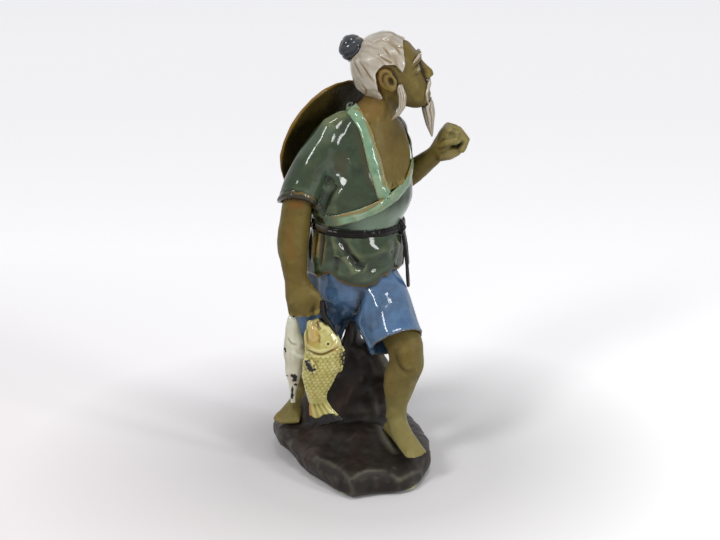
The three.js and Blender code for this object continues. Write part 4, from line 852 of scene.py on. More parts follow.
# %% Short trousers
shorts = Form("short_trousers", "shorts", grain=0.8, spread=2.2, cap=0.8)
AT_CROTCH = [(336, 306), (346, 312), (356, 316)]
CROTCH_VALLEY = [(363, 290), (359, 302), (356, 312), (352, 322)]
CROTCH_SHADE = [(352, 318), (347, 330), (343, 343)]
FRONT_FOLDS = [[(348, 291), (342, 305), (338, 322)], [(333, 286), (331, 300), (328, 314)],
               [(372, 294), (369, 312), (371, 335)], [(384, 290), (378, 308), (379, 330)]]
BACK_FOLDS = (-22, -6, 8, 22)
smooth_beside(shorts, AT_CROTCH, 11, 5, 2.4, strength=1.5, fade=0.1)
# The dark laid in the crotch valley, under it and in the front folds is painted shade.
shorts.draw(CROTCH_VALLEY, 3.4, -1.5, deep=0.6)
shorts.draw(CROTCH_SHADE, 3.5, 0, fade=0, deep=0.9)
for fold in FRONT_FOLDS:
    shorts.draw(fold, 3.2, -0.5, deep=0.15)
for x in BACK_FOLDS:
    shorts.carve(shorts.on([(x, 30, 136), (x * 1.1, 29, 120), (x * 1.2, 26, 106)]), 2.6, -1.0)
CROTCH_RIGHT_OF, CROTCH_BEFORE = 14, 2
off_crotch = (shorts.points[:, 0] > CROTCH_RIGHT_OF) | (shorts.points[:, 1] > CROTCH_BEFORE)
LEG_UNDERSIDE, LEG_HEM_TOP = -0.6, 112
facing_down = (shorts.normals[:, 2] < LEG_UNDERSIDE) & (shorts.points[:, 2] < LEG_HEM_TOP)
hems = shorts.walk(facing_down & off_crotch, 6)
shorts.push(0.3 * bump(hems, 1.4, 1.2))
shorts.mark(gold=0.9 * bump(hems, 0.2, 0.9))
shorts.roughen((0.3, 13, 14), (0.08, 5, 15))
shorts.done(BLUE, crest=0.3)

# %% [markdown]
# Arms, legs, hands and feet are rolled and pinched, then left without glaze, so the clay keeps a dull
# skin. They need the swell of muscle and the dents beside a joint more than any line.

# %% Left leg
left_leg = Form("bare_left_leg", "left_leg", "left_foot", grain=0.75, spread=1.0, cap=0.5)
left_leg.settle(3.0, 0.8, where=left_leg.above(34, 44))
KNEECAP = [(395, 347.4), (397.4, 362.7), (406, 372.3), (416.5, 369.4)]
KNEE = [(404, 352), (410, 360)]
CALF = [(393, 372), (389, 385), (392, 398)]
SHIN = [(412, 377), (408, 395), (403, 412)]
ANKLE = [(386, 418), (388, 422)]
INSTEP = [(384, 427), (390, 437), (397, 448)]
TOES = [(409, 453), (417, 453), (425, 449)]
# The dark in the crease round the kneecap is painted shade.
left_leg.draw(KNEECAP, 2.2, -0.9, deep=0.35)
left_leg.draw(KNEE, 5, 0.8, fade=0)
left_leg.draw(CALF, 5, 0.7, warm=0.4)
left_leg.draw(SHIN, 2.4, 0.5)
left_leg.draw(ANKLE, 2.6, 0.8, fade=0, warm=0.5)
left_leg.draw(INSTEP, 2.0, -0.3, warm=0.7)
left_leg.settle(2.2, 1.0, where=left_leg.below(30, 40))
smooth_beside(left_leg, TOES, 9, 4.5, 2.2)
for u, v in ((404, 452), (409.5, 453), (415, 451)):
    left_leg.draw([(u - 1, v - 3), (u, v), (u + 0.6, v + 3)], 0.8, -0.3)
left_leg.mark(fair=0.85 * left_leg.below(30, 95))
left_leg.roughen((0.25, 15, 16), (0.06, 4, 17))
left_leg.done(SKIN)

# %% [markdown]
# The right leg is bent and stands behind the catch. It needs little more than a smooth skin, with a
# warm blush here and there, as kiln flames leave on bare clay.

# %% Right leg
right_leg = Form("bare_right_leg", "right_leg", "right_foot", grain=0.75, spread=1.0, cap=0.5)
right_leg.settle(3.0, 0.8, where=right_leg.above(42, 52))
right_leg.roughen((0.25, 15, 18), (0.06, 4, 19))
right_leg.settle(2.0, 0.9, where=right_leg.below(40, 48))
right_leg.mark(fair=0.6 * right_leg.below(24, 60),
               warm=0.35 * ramp(ripple(right_leg.points, 12, 20), 0, 1.2))
right_leg.done(SKIN)

# %% [markdown]
# The right arm hangs heavy from the sleeve: a swell of the upper arm, a dent at the elbow, a fold at
# the wrist and the ball of the thumb on the fist.

# %% Right arm and fist
right_arm = Form("bare_right_arm", "right_arm", "right_hand", grain=0.65, spread=0.9, cap=0.45)
KNUCKLES = [(305, 288), (313, 292)]
UPPER_ARM = [(303, 215), (300, 235), (303, 255)]
ELBOW = [(292, 222), (289, 240), (292, 262)]
WRIST = [(286, 281), (298, 286), (312, 283), (320, 279)]
THUMB_BALL = [(310, 292), (318, 298), (323, 306)]
UNDER_SLEEVE = [(305, 206), (296, 204), (288, 209)]
right_arm.settle(3.0, 0.8, where=right_arm.above(140, 150))
right_arm.settle(2.4, 1.0, where=right_arm.above(112, 122))
smooth_beside(right_arm, KNUCKLES, 8, 3.0, 1.6, strength=1)
right_arm.draw(UPPER_ARM, 4.5, 0.7)
right_arm.draw(ELBOW, 3.0, -0.5, warm=0.5)
right_arm.draw(WRIST, 2.6, -0.5)
right_arm.draw(THUMB_BALL, 3.0, 0.6)
right_arm.draw(UNDER_SLEEVE, 2.4, -0.3, warm=0.9)
right_arm.roughen((0.22, 13, 21), (0.06, 4, 22))
right_arm.done(SKIN)

# %% [markdown]
# The left hand is half closed round a rod that is gone. Its fingers are told apart by furrows between
# them, and the thumb lies over them as a ridge.

# %% Left forearm and hand
left_arm = Form("bare_left_arm", "left_forearm", "left_hand", grain=0.6, spread=0.8, cap=0.4)
THUMB = [(436, 146), (443, 143), (450, 141), (457, 139)]
HAND_BACK = [(437, 137), (442, 131), (448, 127)]
FINGER_FURROWS = [([(437, 151), (446, 148), (455, 145)], 1.5, -0.9),
                  ([(449, 136), (453, 131), (456, 128)], 1.5, -0.9),
                  ([(458, 141), (460, 136), (461, 131)], 1.4, -0.8)]
HAND_START = 58
left_arm.settle(2.6, 0.8, where=ramp(HAND_START - left_arm.points[:, 0], 0, 8))
left_arm.draw(THUMB, 1.6, 0.5)
# The dark in the furrows between the fingers is painted shade.
for furrow, width, depth in FINGER_FURROWS:
    left_arm.draw(furrow, width, depth, deep=0.25)
left_arm.mark(fair=0.7 * ramp(left_arm.points[:, 0], HAND_START, HAND_START + 8))
left_arm.draw(HAND_BACK, 2.0, 0.5)
left_arm.roughen((0.2, 12, 23), (0.06, 4, 24))
left_arm.done(SKIN)

# %% [markdown]
# The head is an egg of clay with sprigged ears. Its face is a plain, calm one on a student's
# proportions: eyes half way up the head, the nose's base half way down from them to the chin, and the
# mouth a third of the way below it. It is laid out in the head's own frame, which leans back.

# %% Head
HEAD_CENTRE = np.array((25.5, 7.0, 269.4))
HEAD_TILT = math.radians(17)
HEAD_AXES = np.array(((math.cos(HEAD_TILT), 0, math.sin(HEAD_TILT)), (0, 1, 0),
                      (-math.sin(HEAD_TILT), 0, math.cos(HEAD_TILT))))
EYE_SIDE, EYE_UP = 8.5, 0.2
EYE_WIDTH, EYE_OPENING = 3.4, 1.15
LID_BEND = 0.04
MOUTH_UP = -14.3
FACE_SIDE, FACE_FOOT = (8, 13), (-27, -25)
EAR_START = 18.6            # how far from the middle the ears begin
head = Form("bare_head", "head", "chest_neck", "right_ear", "left_ear", grain=0.5, spread=0.8, cap=0.4)


def in_head(points):
    """Places in the head's own frame: forward, to the figure's left and up."""
    return (points - HEAD_CENTRE) @ HEAD_AXES.T


def on_head(places):
    """Places of the head's own frame in the figure's millimetres."""
    return np.asarray(places, dtype=float) @ HEAD_AXES + HEAD_CENTRE


def head_line(places, width, depth, fade=0.25, **shares):
    """Carve along places of the head's own frame."""
    head.carve(head.on(on_head(places)), width, depth, fade, **shares)


forward, sideways, upward = in_head(head.points).T
face = ramp(forward, *FACE_SIDE) * ramp(upward, *FACE_FOOT)
head.settle(3.4, 1.0, where=(1 - face) * (np.abs(sideways) < EAR_START))
at_eyes = bump(np.hypot(np.abs(sideways) - EYE_SIDE, upward), 0, 5)
down_middle = bump(sideways, 0, 7) * (1 - ramp(upward, 5, 9))
head.settle(1.8, 0.7, where=face * (1 - np.clip(at_eyes + down_middle, 0, 1)))
head.settle(0.7, 0.3, where=face)
print("face points:", int((face > 0.5).sum()))

# %% [markdown]
# Each eye is an almond between two soft lids, under a plain brow. The wings of the nose, the nostrils
# and the cheeks are one soft push each, and the mouth is closed and level.

# %% A plain face
sideways = in_head(head.points)[:, 1]
# The dark line along each upper lid and the dark in the nostrils are painted shade.
for side in (-1, 1):
    off_eye = sideways - side * EYE_SIDE
    eye = np.hypot(off_eye / EYE_WIDTH, (upward - EYE_UP + LID_BEND * off_eye ** 2) / EYE_OPENING)
    open_eye = face * (1 - ramp(eye, 0.85, 1.1))
    head.push(face * (0.3 * bump(eye, 1.45, 0.4) - 0.2 * (1 - ramp(eye, 0.5, 1.1))))
    lash = face * bump(eye, 1.05, 0.22) * ramp(upward - EYE_UP, -0.2, 0.5)
    pupil = np.hypot(sideways - side * (EYE_SIDE - 0.2), upward - EYE_UP - 0.2)
    head.mark(white=0.8 * open_eye, deep=0.8 * lash,
              black=0.95 * face * (1 - ramp(pupil, 0.75, 1.15)) * (eye < 1.1))
    upper_lid = [(17, side * 5, 2.6), (18, side * 8.5, 3.5), (15.5, side * 12, 2.2)]
    nose_wing = [(20.5, side * 3.6, -7.2), (21.3, side * 4.3, -9)]
    nostril = [(21, side * 2.2, -10.2), (20.6, side * 3.2, -10.4)]
    cheek_line = [(19.6, side * 6, -7.5), (18.6, side * 8.6, -11.5)]
    cheek = [(16, side * 11, -6), (15, side * 12.5, -8)]
    head_line(upper_lid, 0.6, -0.2)
    head_line(nose_wing, 0.8, -0.35, fade=0)
    head_line(nostril, 0.75, -0.8, fade=0, deep=0.7)
    head_line(cheek_line, 1.2, -0.2)
    head_line(cheek, 3.4, 0.45, fade=0)
MOUTH = [(18.4, -6.2, MOUTH_UP + 0.5), (20.6, -3, MOUTH_UP), (21, 0, MOUTH_UP - 0.2),
         (20.6, 3, MOUTH_UP), (18.4, 6.2, MOUTH_UP + 0.5)]
LIP_HOLLOW = [(21.5, 0, -10.8), (21.5, 0, -12.4)]
# The dark in the mouth's groove is painted shade.
head_line(MOUTH, 0.6, -0.6, deep=0.5)
head_line(LIP_HOLLOW, 0.7, -0.25, fade=0)
print("face carved")

# %% [markdown]
# An ear is an oval shell round a bowl. Its rim rolls over the top and down the back, with a fold
# inside it, and the lobe and the little lobe before the bowl are soft beads. Below, tendons run from
# the ear to the collar bones, where the throat is in shade.

# %% Ears and throat
EAR_FORWARD, EAR_UP = -2.6, 0.4
EAR_HALF_LONG, EAR_HALF_TALL = 5.4, 7.8
BOWL_FORWARD, BOWL_DOWN = 1.6, 0.9
BOWL_HALF_LONG, BOWL_HALF_TALL = 2.4, 3.4
forward, sideways, upward = in_head(head.points).T
beside = ramp(np.abs(sideways), 18.2, 19.2)
ahead, higher = forward - EAR_FORWARD, upward - EAR_UP
shell = np.hypot(ahead / EAR_HALF_LONG, higher / EAR_HALF_TALL)
bowl = np.hypot((ahead - BOWL_FORWARD) / BOWL_HALF_LONG, (higher + BOWL_DOWN) / BOWL_HALF_TALL)
ear_turn = np.degrees(np.arctan2(higher, -ahead))
over_and_back = ramp(ear_turn, -75, -35) * ramp(150 - ear_turn, 0, 30)
helix = beside * bump(shell, 0.86, 0.16) * over_and_back
fold = beside * bump(shell, 0.62, 0.1) * ramp(ear_turn, -20, 10) * ramp(125 - ear_turn, 0, 25)
tragus = beside * bump(np.hypot(forward - 2.0, upward + 1.0), 0, 1.4)
lobe = beside * bump(np.hypot(forward + 1.4, upward + 6.0), 0, 2.2)
in_bowl = beside * (1 - ramp(bowl, 0.25, 1.2))
head.push(0.7 * helix - 0.4 * fold + 0.6 * tragus + 0.45 * lobe - 1.7 * in_bowl)
# The dark in the ear's bowl and fold is painted shade.
head.mark(deep=0.32 * in_bowl + 0.15 * fold, warm=0.3 * helix)
TENDON = [(381, 97), (386, 110), (392, 122), (399, 132)]
THROAT_HOLLOW = [(390, 96), (395, 108), (400, 118)]
BREASTBONE = [(393, 140), (394, 158), (393, 175)]
UNDER_LAPEL = [(388, 188), (394, 188), (401, 182)]
head.draw(TENDON, 2.2, 0.5)
# The dark along the throat hollow is painted shade.
head.draw(THROAT_HOLLOW, 3.0, -0.5, deep=0.3)
head.draw(BREASTBONE, 2.0, -0.4)
head.draw(UNDER_LAPEL, 4, 1.4, fade=0)
head.push(0.16 * ripple(head.points, 12, 25) * (1 - face) + 0.04 * ripple(head.points, 4, 26))
nape = ramp(30 - head.points[:, 0], 0, 16) * head.above(236, 250)
under_chin = ramp(250 - head.points[:, 2], -8, 6) * head.above(222, 236)
head.mark(warm=0.4 * nape, shade=0.55 * under_chin * ramp(head.points[:, 0], 18, 34))
head.done(SKIN, crest=0.26)

# %% [markdown]
# The hair is a thin cap combed back to the bun. Its strands are furrows that meet there, so a point's
# turn about the bun says which strand it belongs to, and waves bend the strands a little. In the
# furrows the white glaze is so thin that the clay shows golden.

# %% Combed hair
hair = Form("combed_hair", "hair", grain=0.5, spread=1.2, cap=0.5)
BUN_PLACE = np.array((-15.0, 0.0, 20.0))        # in the head's own frame
BUN_AXIS = np.array((-0.63, 0.0, 0.777))
TO_FOREHEAD = np.array((0.777, 0.0, 0.63))
STRANDS, FINE_STRANDS = 19, 47


def round_bun(form):
    """Each point's height along the bun's axis, its turn about it and its distance from the bun."""
    place = in_head(form.points) - BUN_PLACE
    height = place @ BUN_AXIS
    across = place - height[:, None] * BUN_AXIS
    return height, np.arctan2(across[:, 1], across @ TO_FOREHEAD), np.linalg.norm(place, axis=1)


_, turn, away = round_bun(hair)
wander = 0.10 * ripple(hair.points, 16, 27) + 0.05 * ripple(hair.points, 7, 28)
strand = 0.5 + 0.5 * np.cos(STRANDS * (turn + 1.3 * wander))
fine_strand = 0.5 + 0.5 * np.cos(FINE_STRANDS * (turn + 0.9 * wander)
                                 + 2 * ripple(hair.points, 20, 29))
strength = ramp(ripple(hair.points, 13, 30), -0.9, 0.9)
furrow = strand ** 4 * (0.25 + 0.75 * strength)
full = ramp(away, 6, 14)
hair.push(full * (0.12 - 0.38 * furrow - 0.05 * fine_strand ** 2 * strength))
hair.mark(gold=0.5 * full * furrow * ramp(strength, 0.4, 0.9),
          shade=0.2 * full * (strand ** 2 + fine_strand ** 2 * strength))
DEEP_STRANDS = [[(353.5, 58), (357, 68), (363, 79)], [(359, 60), (366, 71), (374, 82)],
                [(377, 53), (384, 59), (391, 66)], [(382, 46), (387, 52), (391, 59)],
                [(392, 45), (397, 49), (401, 56)], [(361, 84), (366, 90), (370, 97)]]
for path in DEEP_STRANDS:
    hair.draw(path, 0.75, -0.4, fade=0.4, gold=0.95)
forward, _, upward = in_head(hair.points).T
temple = ramp(forward, -2, 9)
low_nape_painted_shade = ramp(-upward, 0, 16) * ramp(-forward, 4, 18)
hair.mark(gold=0.55 * temple * strand ** 2 * ramp(strength, 0.1, 0.7),
          shade=0.3 * temple * fine_strand)
# At the low nape, both the shade and the gold laid here are painted shade.
hair.mark(shade=low_nape_painted_shade, gold=0.5 * low_nape_painted_shade)
hair.done(HAIR, crest=0.34)

# %% [markdown]
# The bun is a ball of the same clay, coiled three times and dipped in a blue-black glaze. It sits a
# little deeper and rounder here than its solid.

# %% Bun
BUN_GROWTH, BUN_SINK = 1.06, 0.7
COILS, COIL_RISE = 3, 0.9
bun = Form("hair_bun", "topknot_bun", grain=0.4, spread=2.2, cap=0.9)
height, turn, _ = round_bun(bun)
coil = 0.5 + 0.5 * np.cos(COILS * turn + COIL_RISE * height)
middle = bun.points.mean(axis=0)
bun.points = middle + BUN_GROWTH * (bun.points - middle) - BUN_SINK * (BUN_AXIS @ HEAD_AXES)
bun.look()
bun.push(-0.5 * coil ** 4 + 0.12 * ripple(bun.points, 5, 31))
bun.mark(gold=0.35 * ramp(ripple(bun.points, 5, 32), 0.8, 1.6))
bun.done(BUN)

# %% [markdown]
# Beard, moustache, brows and the tufts before the ears are drawn-out licks of clay, combed with a
# needle along their length. The furrows follow each lick's own middle line.

# %% Licks of white hair
def middle_line(form, count=14, reach=1 / 14):
    """Where the middle of a hanging form is at each point's height, as x and y."""
    top, bottom = form.points[:, 2].max(), form.points[:, 2].min()
    levels = np.linspace(bottom, top, count)
    nearness = np.exp(-((form.points[:, 2:3] - levels) / (reach * (top - bottom))) ** 2)
    middles = (nearness.T @ form.points) / nearness.sum(axis=0)[:, None]
    return np.stack([np.interp(form.points[:, 2], levels, middles[:, axis]) for axis in (0, 1)], axis=1)


def lick(name, node, count=9, grain=0.32, depth=0.3, tip=0.0, girth=1.0):
    """A lick with a count of furrows round it, drawn thicker or thinner by its girth."""
    form = Form(name, node, grain=grain, spread=0.7, cap=0.35)
    centre = middle_line(form, 12, 0.09)
    offset = form.points[:, :2] - centre
    form.points[:, :2] = centre + offset * girth
    turn = np.arctan2(offset[:, 1], offset[:, 0])
    wave = 0.5 + 0.5 * np.cos(count * turn + 1.2 * ripple(form.points, 9, len(name)))
    top, bottom = form.points[:, 2].max(), form.points[:, 2].min()
    form.push(-depth * wave ** 3)
    low = ramp(top - form.points[:, 2], 0.75 * (top - bottom), top - bottom)
    form.mark(gold=0.7 * wave ** 3, shade=np.full(len(wave), 0.35), tip=tip * low)
    form.done(HAIR, crest=0.2)


lick("chin_beard", "beard", count=10, depth=0.35, girth=1.15)
lick("tuft_right", "right_sideburn_tuft", tip=0.8, girth=0.86)
lick("tuft_left", "left_sideburn_tuft", tip=0.8, girth=0.86)
for side in ("right", "left"):
    lick("whiskers_" + side, "moustache_" + side, count=6, grain=0.25, depth=0.18)
    lick("brow_" + side, side + "_eyebrow", count=5, grain=0.22, depth=0.15)

# %% [markdown]
# The straw hat hangs on the back with its hollow side to the body. It is thrown or pressed as a
# shallow cone and lined with a comb: rings of straw cross ribs that run out to the rim.

# %% Straw hat
hat = Form("straw_hat", "hat", grain=0.75, spread=1.6, cap=0.6)
HAT_MIDDLE = np.array((-14.3, 22.9, 222.3))
HAT_INWARD = np.array((0.66, -0.66, -0.34))
HAT_INWARD /= np.linalg.norm(HAT_INWARD)
HAT_RIM = 42.5
GOLDEN_RIM = 42.2, 43.4
STRAW_STEP, RIBS = 2.6, 60
offset = hat.points - HAT_MIDDLE
flat = offset - (offset @ HAT_INWARD)[:, None] * HAT_INWARD
radius = np.linalg.norm(flat, axis=1)
over = np.cross(HAT_INWARD, (0, 0, 1))
over /= np.linalg.norm(over)
turn = np.arctan2(flat @ np.cross(over, HAT_INWARD), flat @ over)
rings = 0.5 + 0.5 * np.cos(2 * math.pi * radius / STRAW_STEP)
ribs = 0.5 + 0.5 * np.cos(RIBS * turn)
rings_over = np.cos(RIBS / 2 * turn) * np.sin(math.pi * radius / STRAW_STEP) > 0
weave = np.where(rings_over, rings, ribs)
open_straw = ramp(radius, 6, 12) * ramp(HAT_RIM - radius, 0, 1.5)
hat.push(open_straw * (0.03 - 0.08 * weave ** 3) + 0.15 * ripple(hat.points, 14, 33))
# The dark in the weave's grooves is painted shade.
hat.mark(gold=0.9 * ramp(radius, *GOLDEN_RIM), deep=0.12 * open_straw * weave ** 3)
hat.done(STRAW)

# %% [markdown]
# The two fish hang by their mouths. Scales are pressed with a small round tool, row after row, each
# row half a scale aside and lying over the next one towards the tail. So the row and column nearest
# to a point say how far it stands out.

# %% Carp
carp = Form("carp", "carp_body", "carp_tail_fin", "carp_dorsal_fin", grain=0.42, spread=1.2, cap=0.6)
SCALE_WIDE, SCALE_TALL = 3.1, 2.3
SCALE_REACH, SCALE_HALF = 1.3, 0.64
SCALE_HEIGHT = 0.6
SCALES_TOP = 120
HEAD_GROWTH, HEAD_SHIFT = 0.26, 0.4
CARP_TAIL = 57              # the height where its tail begins
GILL = [(305, 340), (309, 350), (321, 354.5), (333, 350), (339, 341)]


def scale_height(across, along):
    """Each scale tilts from 0 where it starts to 1 at its free edge, and lies over the next."""
    height = np.zeros(len(across))
    covered = np.zeros(len(across), dtype=bool)
    row = np.floor(along / SCALE_TALL)
    for back in (1, 0, -1):
        this_row = row - back
        shift = 0.5 * (this_row % 2)
        column = np.round(across / SCALE_WIDE - shift) + shift
        aside = (across - column * SCALE_WIDE) / (SCALE_HALF * SCALE_WIDE)
        down = (along - this_row * SCALE_TALL) / (SCALE_REACH * SCALE_TALL)
        here = (np.hypot(aside, down) < 1) & ~covered
        height = np.where(here, np.clip(0.35 + 0.65 * down - 0.15 * aside ** 2, 0, 1), height)
        covered |= here
    return height


gill = carp.seen(GILL)
centre = middle_line(carp)
head_share = carp.above(86, 104)
from_middle = carp.points[:, 0] - centre[:, 0]
carp.points[:, 0] += HEAD_GROWTH * head_share * from_middle + HEAD_SHIFT * head_share
carp.look()
offset = carp.points[:, :2] - centre
gill_order = np.argsort(gill[:, 0])
gill_height = np.interp(carp.points[:, 0], gill[gill_order, 0], gill[gill_order, 2])
body = ramp(gill_height - carp.points[:, 2], 0.3, 1.6) * carp.above(CARP_TAIL, CARP_TAIL + 4)
uneven = 0.22 * ripple(carp.points, 6, 51)
scaled = scale_height(offset[:, 0] + uneven, SCALES_TOP - carp.points[:, 2] + uneven)
carp.push(body * SCALE_HEIGHT * (scaled - 0.3))
carp.mark(brown=body * (1 - ramp(scaled, 0.12, 0.52)))
print("scaled points:", int((body > 0.5).sum()))

# %% [markdown]
# The gill is one deep stroke of a tool with a roll beside it. The mouth, the cheek and the brow are
# smaller strokes, the lips are uneven, and the eye is a dark dot in a raised ring.

# %% Head of the carp
MOUTH_CORNER = [(317.6, 320), (318, 326), (320.4, 330)]
CHEEK_CREASE = [(317.5, 334), (320, 337.5), (318.8, 341), (321, 343.5)]
CHEEK_ROLL = [(314, 323), (312.8, 332), (315.5, 342)]
CHEEK_BLUSH = [(316.5, 334), (317, 341)]
CARP_BROW = [(322.5, 326), (327, 328), (331, 334)]
NECK_CREASE = [(307.8, 320), (306.5, 334), (308, 345)]
CARP_EYE = [(328, 344)]
carp.carve(gill, 0.8, -0.7, fade=0.1, brown=0.55)
carp.draw([(u, v - 3.2) for u, v in GILL], 1.3, 0.35, fade=0.1)
carp.draw(MOUTH_CORNER, 1.0, -1.0, brown=0.6)
carp.draw(CHEEK_CREASE, 0.7, -0.4, brown=0.35)
carp.draw(CHEEK_ROLL, 2.0, 0.6, orange=0.7)
carp.draw(CHEEK_BLUSH, 2.2, 0, fade=0, orange=0.55)
carp.draw(CARP_BROW, 2.2, 0.6)
carp.draw(NECK_CREASE, 1.1, -0.6, brown=0.3)
lip = carp.above(108, 112)
carp.push(0.5 * lip * ripple(carp.points, 3.5, 56))
carp.mark(brown=0.5 * lip * ramp(ripple(carp.points, 3.5, 57), 0.3, 1.2))
from_eye = np.linalg.norm(carp.points - carp.seen(CARP_EYE)[0], axis=1)
carp.push(0.3 * bump(from_eye, 1.5, 0.6) - 0.15 * (1 - ramp(from_eye, 0.5, 1.0)))
carp.mark(black=1 - ramp(from_eye, 0.55, 1.05))
print("eye points:", int((from_eye < 1).sum()))

# %% [markdown]
# Black glaze was dabbed on the fins, and the tail end was dipped in it, so its edge there is ragged
# and runs up between the rays.

# %% Fins and tail of the carp
BREAST_FIN = [(306.5, 361), (309.5, 367), (313, 370.5)]
FIN_DAB = [(307.5, 363), (310, 367), (312, 369)]
FIN_RAY = [(311, 360), (314.5, 366), (316, 370)]
BROW_DAB = [(321, 319), (325, 321), (329, 324)]
BACK_DAB = [(344.5, 352), (342.5, 358), (343, 364)]
SMALL_DAB = [(348, 347), (349, 350)]
TAIL_END, TAIL_RAYS = 36, 15
TAIL_HALF_WIDTHS = 10.5, 6.4
DIPPED, DIPPED_MORE_RIGHT = 45.2, 2.2
carp.draw(BREAST_FIN, 2.4, 1.0, fade=0)
carp.blot(FIN_DAB, 2.6, "black", seed=52)
carp.draw(FIN_RAY, 0.9, 0.7)
carp.blot(BROW_DAB, 2.4, "black", seed=53, raised=0.4)
carp.blot(BACK_DAB, 1.1, "black", seed=54)
carp.blot(SMALL_DAB, 0.9, "black", seed=55)
offset = carp.points[:, :2] - centre
tail = carp.below(CARP_TAIL - 5, CARP_TAIL + 1)
tail_half = np.interp(carp.points[:, 2], (TAIL_END, CARP_TAIL), TAIL_HALF_WIDTHS)
rays = 0.5 + 0.5 * np.cos(TAIL_RAYS * offset[:, 0] / tail_half + 0.6 * ripple(carp.points, 8, 34))
carp.push(tail * (0.1 - 0.24 * rays ** 2))
carp.mark(brown=0.12 * tail * rays ** 3,
          orange=0.75 * tail * ramp(-offset[:, 0] / tail_half, 0.55, 0.9))
to_right = ramp(carp.points[:, 0], -26, -14)
carp.points[:, 0] += 0.24 * carp.below(40, 56) * np.maximum(carp.points[:, 0] + 30, 0)
edge = DIPPED + DIPPED_MORE_RIGHT * to_right + 1.6 * ripple(carp.points, 5, 35)
above_edge = ramp(carp.points[:, 2] - edge, -0.4, 0.5)
torn = ramp(44 - carp.points[:, 2], 0, 4)
carp.points[:, 2] += torn * np.maximum(0, 1.6 * ripple(carp.points * (1, 0, 0), 5, 36))
carp.mark(black=(1 - above_edge) * ramp(ripple(carp.points, 4, 37), -1.6, -1.2))
carp.mark(orange=0.4 * ramp(ripple(carp.points, 8, 38), 0.5, 1.5))
carp.roughen((0.07, 4, 39))
carp.done(CARP, crest=0.22)

# %% [markdown]
# The white fish is plainer: a slim body whose tail narrows before it spreads, one side fin that
# stands off, and black spots let into its white glaze.

# %% White fish
white_fish = Form("white_fish", "white_fish_body", "white_fish_tail_fin", grain=0.45, spread=1.2,
                  cap=0.6)
SIDE_FIN = [(303, 355.5), (306, 357.5)]
FIN_PULL = 3.2, -0.8, -0.6
FIN_ROOT = [(294, 352), (298, 355.5), (303, 357.5)]
GILL_LINE = [(287, 337), (291, 343), (298, 345)]
MOUTH_RIM = [(289, 322), (292, 318), (296, 322)]
offset = white_fish.points[:, :2] - middle_line(white_fish)
white_fish.points[:, 0] -= white_fish.below(50, 66) * (0.4 * offset[:, 0] + 1.6)
side_fin = white_fish.near(white_fish.seen(SIDE_FIN), 3.0, fade=0)
white_fish.points += side_fin[:, None] * FIN_PULL
white_fish.look()
offset = white_fish.points[:, :2] - middle_line(white_fish)
white_fish.draw(FIN_ROOT, 1.3, 0.5, fade=0)
white_fish.draw(GILL_LINE, 0.8, -0.5, shade=0.6)
white_fish.draw(MOUTH_RIM, 1.6, 0.4)
SPOTS = [([(285.2, 349), (285.6, 352)], 1.2), ([(293.4, 376), (294.2, 380)], 1.9),
         ([(286.5, 375.5), (288, 375.6)], 0.6), ([(290, 395), (292, 398)], 0.9),
         ([(296.5, 385), (297, 391)], 1.0), ([(289, 311), (293, 311.5), (297, 312.5)], 1.8)]
for index, (path, width) in enumerate(SPOTS):
    white_fish.blot(path, width, "black", seed=60 + index, raised=0.2)
low_fin = white_fish.below(52, 62)
rays = 0.5 + 0.5 * np.cos(3.4 * offset[:, 0])
white_fish.push(-0.15 * low_fin * rays ** 2 + 0.22 * ripple(white_fish.points, 9, 40))
white_fish.mark(shade=0.5 * low_fin * rays ** 2 + 0.4 * ramp(-offset[:, 0], 3.5, 7))
white_fish.done(WHITE)

# %% [markdown]
# The strings are thin coils of clay under a black glaze, twisted like cord.

# %% Fish cords
TWIST = 3.2                 # radians a millimetre
cords = Form("fish_cords", "carp_string", "white_fish_string", grain=0.28, spread=0.5, cap=0.25)
east, north = (cords.points[:, :2] - middle_line(cords)).T
cords.push(0.12 * np.cos(TWIST * cords.points[:, 2] + 2 * np.arctan2(east, north)))
cords.done(CORD)

# %% [markdown]
# The end of the carp's cord lies over its brow and runs down the cheek. It is a round coil that gets
# thinner, so it is drawn as a curve with a radius at each turn, and then made a mesh.

# %% Cord over the carp's brow
CORD_DEPTH = -38.5
CORD_TURNS = [(322.5, 301, 1.5), (322, 309, 1.9), (323.5, 317, 2.3), (329, 322.5, 1.9),
              (333.5, 328.5, 1.4), (336.8, 336, 0.8)]
curve = bpy.data.curves.new("brow_cord", "CURVE")
curve.dimensions = "3D"
curve.bevel_depth = 1 * MM
curve.bevel_resolution = 4
curve.resolution_u = 8
curve.use_fill_caps = True
route = curve.splines.new("NURBS")
route.points.add(len(CORD_TURNS) - 1)
for point, (u, v, radius) in zip(route.points, CORD_TURNS):
    ray = photo_ray(u, v)
    place = CAMERA_PLACE + ray * ((CORD_DEPTH - CAMERA_PLACE.y) / ray.y)
    point.co = (*to_frame(place), 1)
    point.radius = radius
route.use_endpoint_u = True
drawn = bpy.data.objects.new("brow_cord_line", curve)
brow_cord = new_piece("brow_cord", bpy.data.meshes.new_from_object(drawn))
bpy.data.objects.remove(drawn)
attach(brow_cord, "root")
coat_piece(brow_cord, CORD)
print("cord points:", len(brow_cord.data.vertices))

# %% [markdown]
# The rock is a hollow-backed lump, cut with a wire and smoothed by hand, under a thin dark slip that
# is worn pale on its ridges. It is matt, so its shape shows by shade alone, and needs true unevenness.

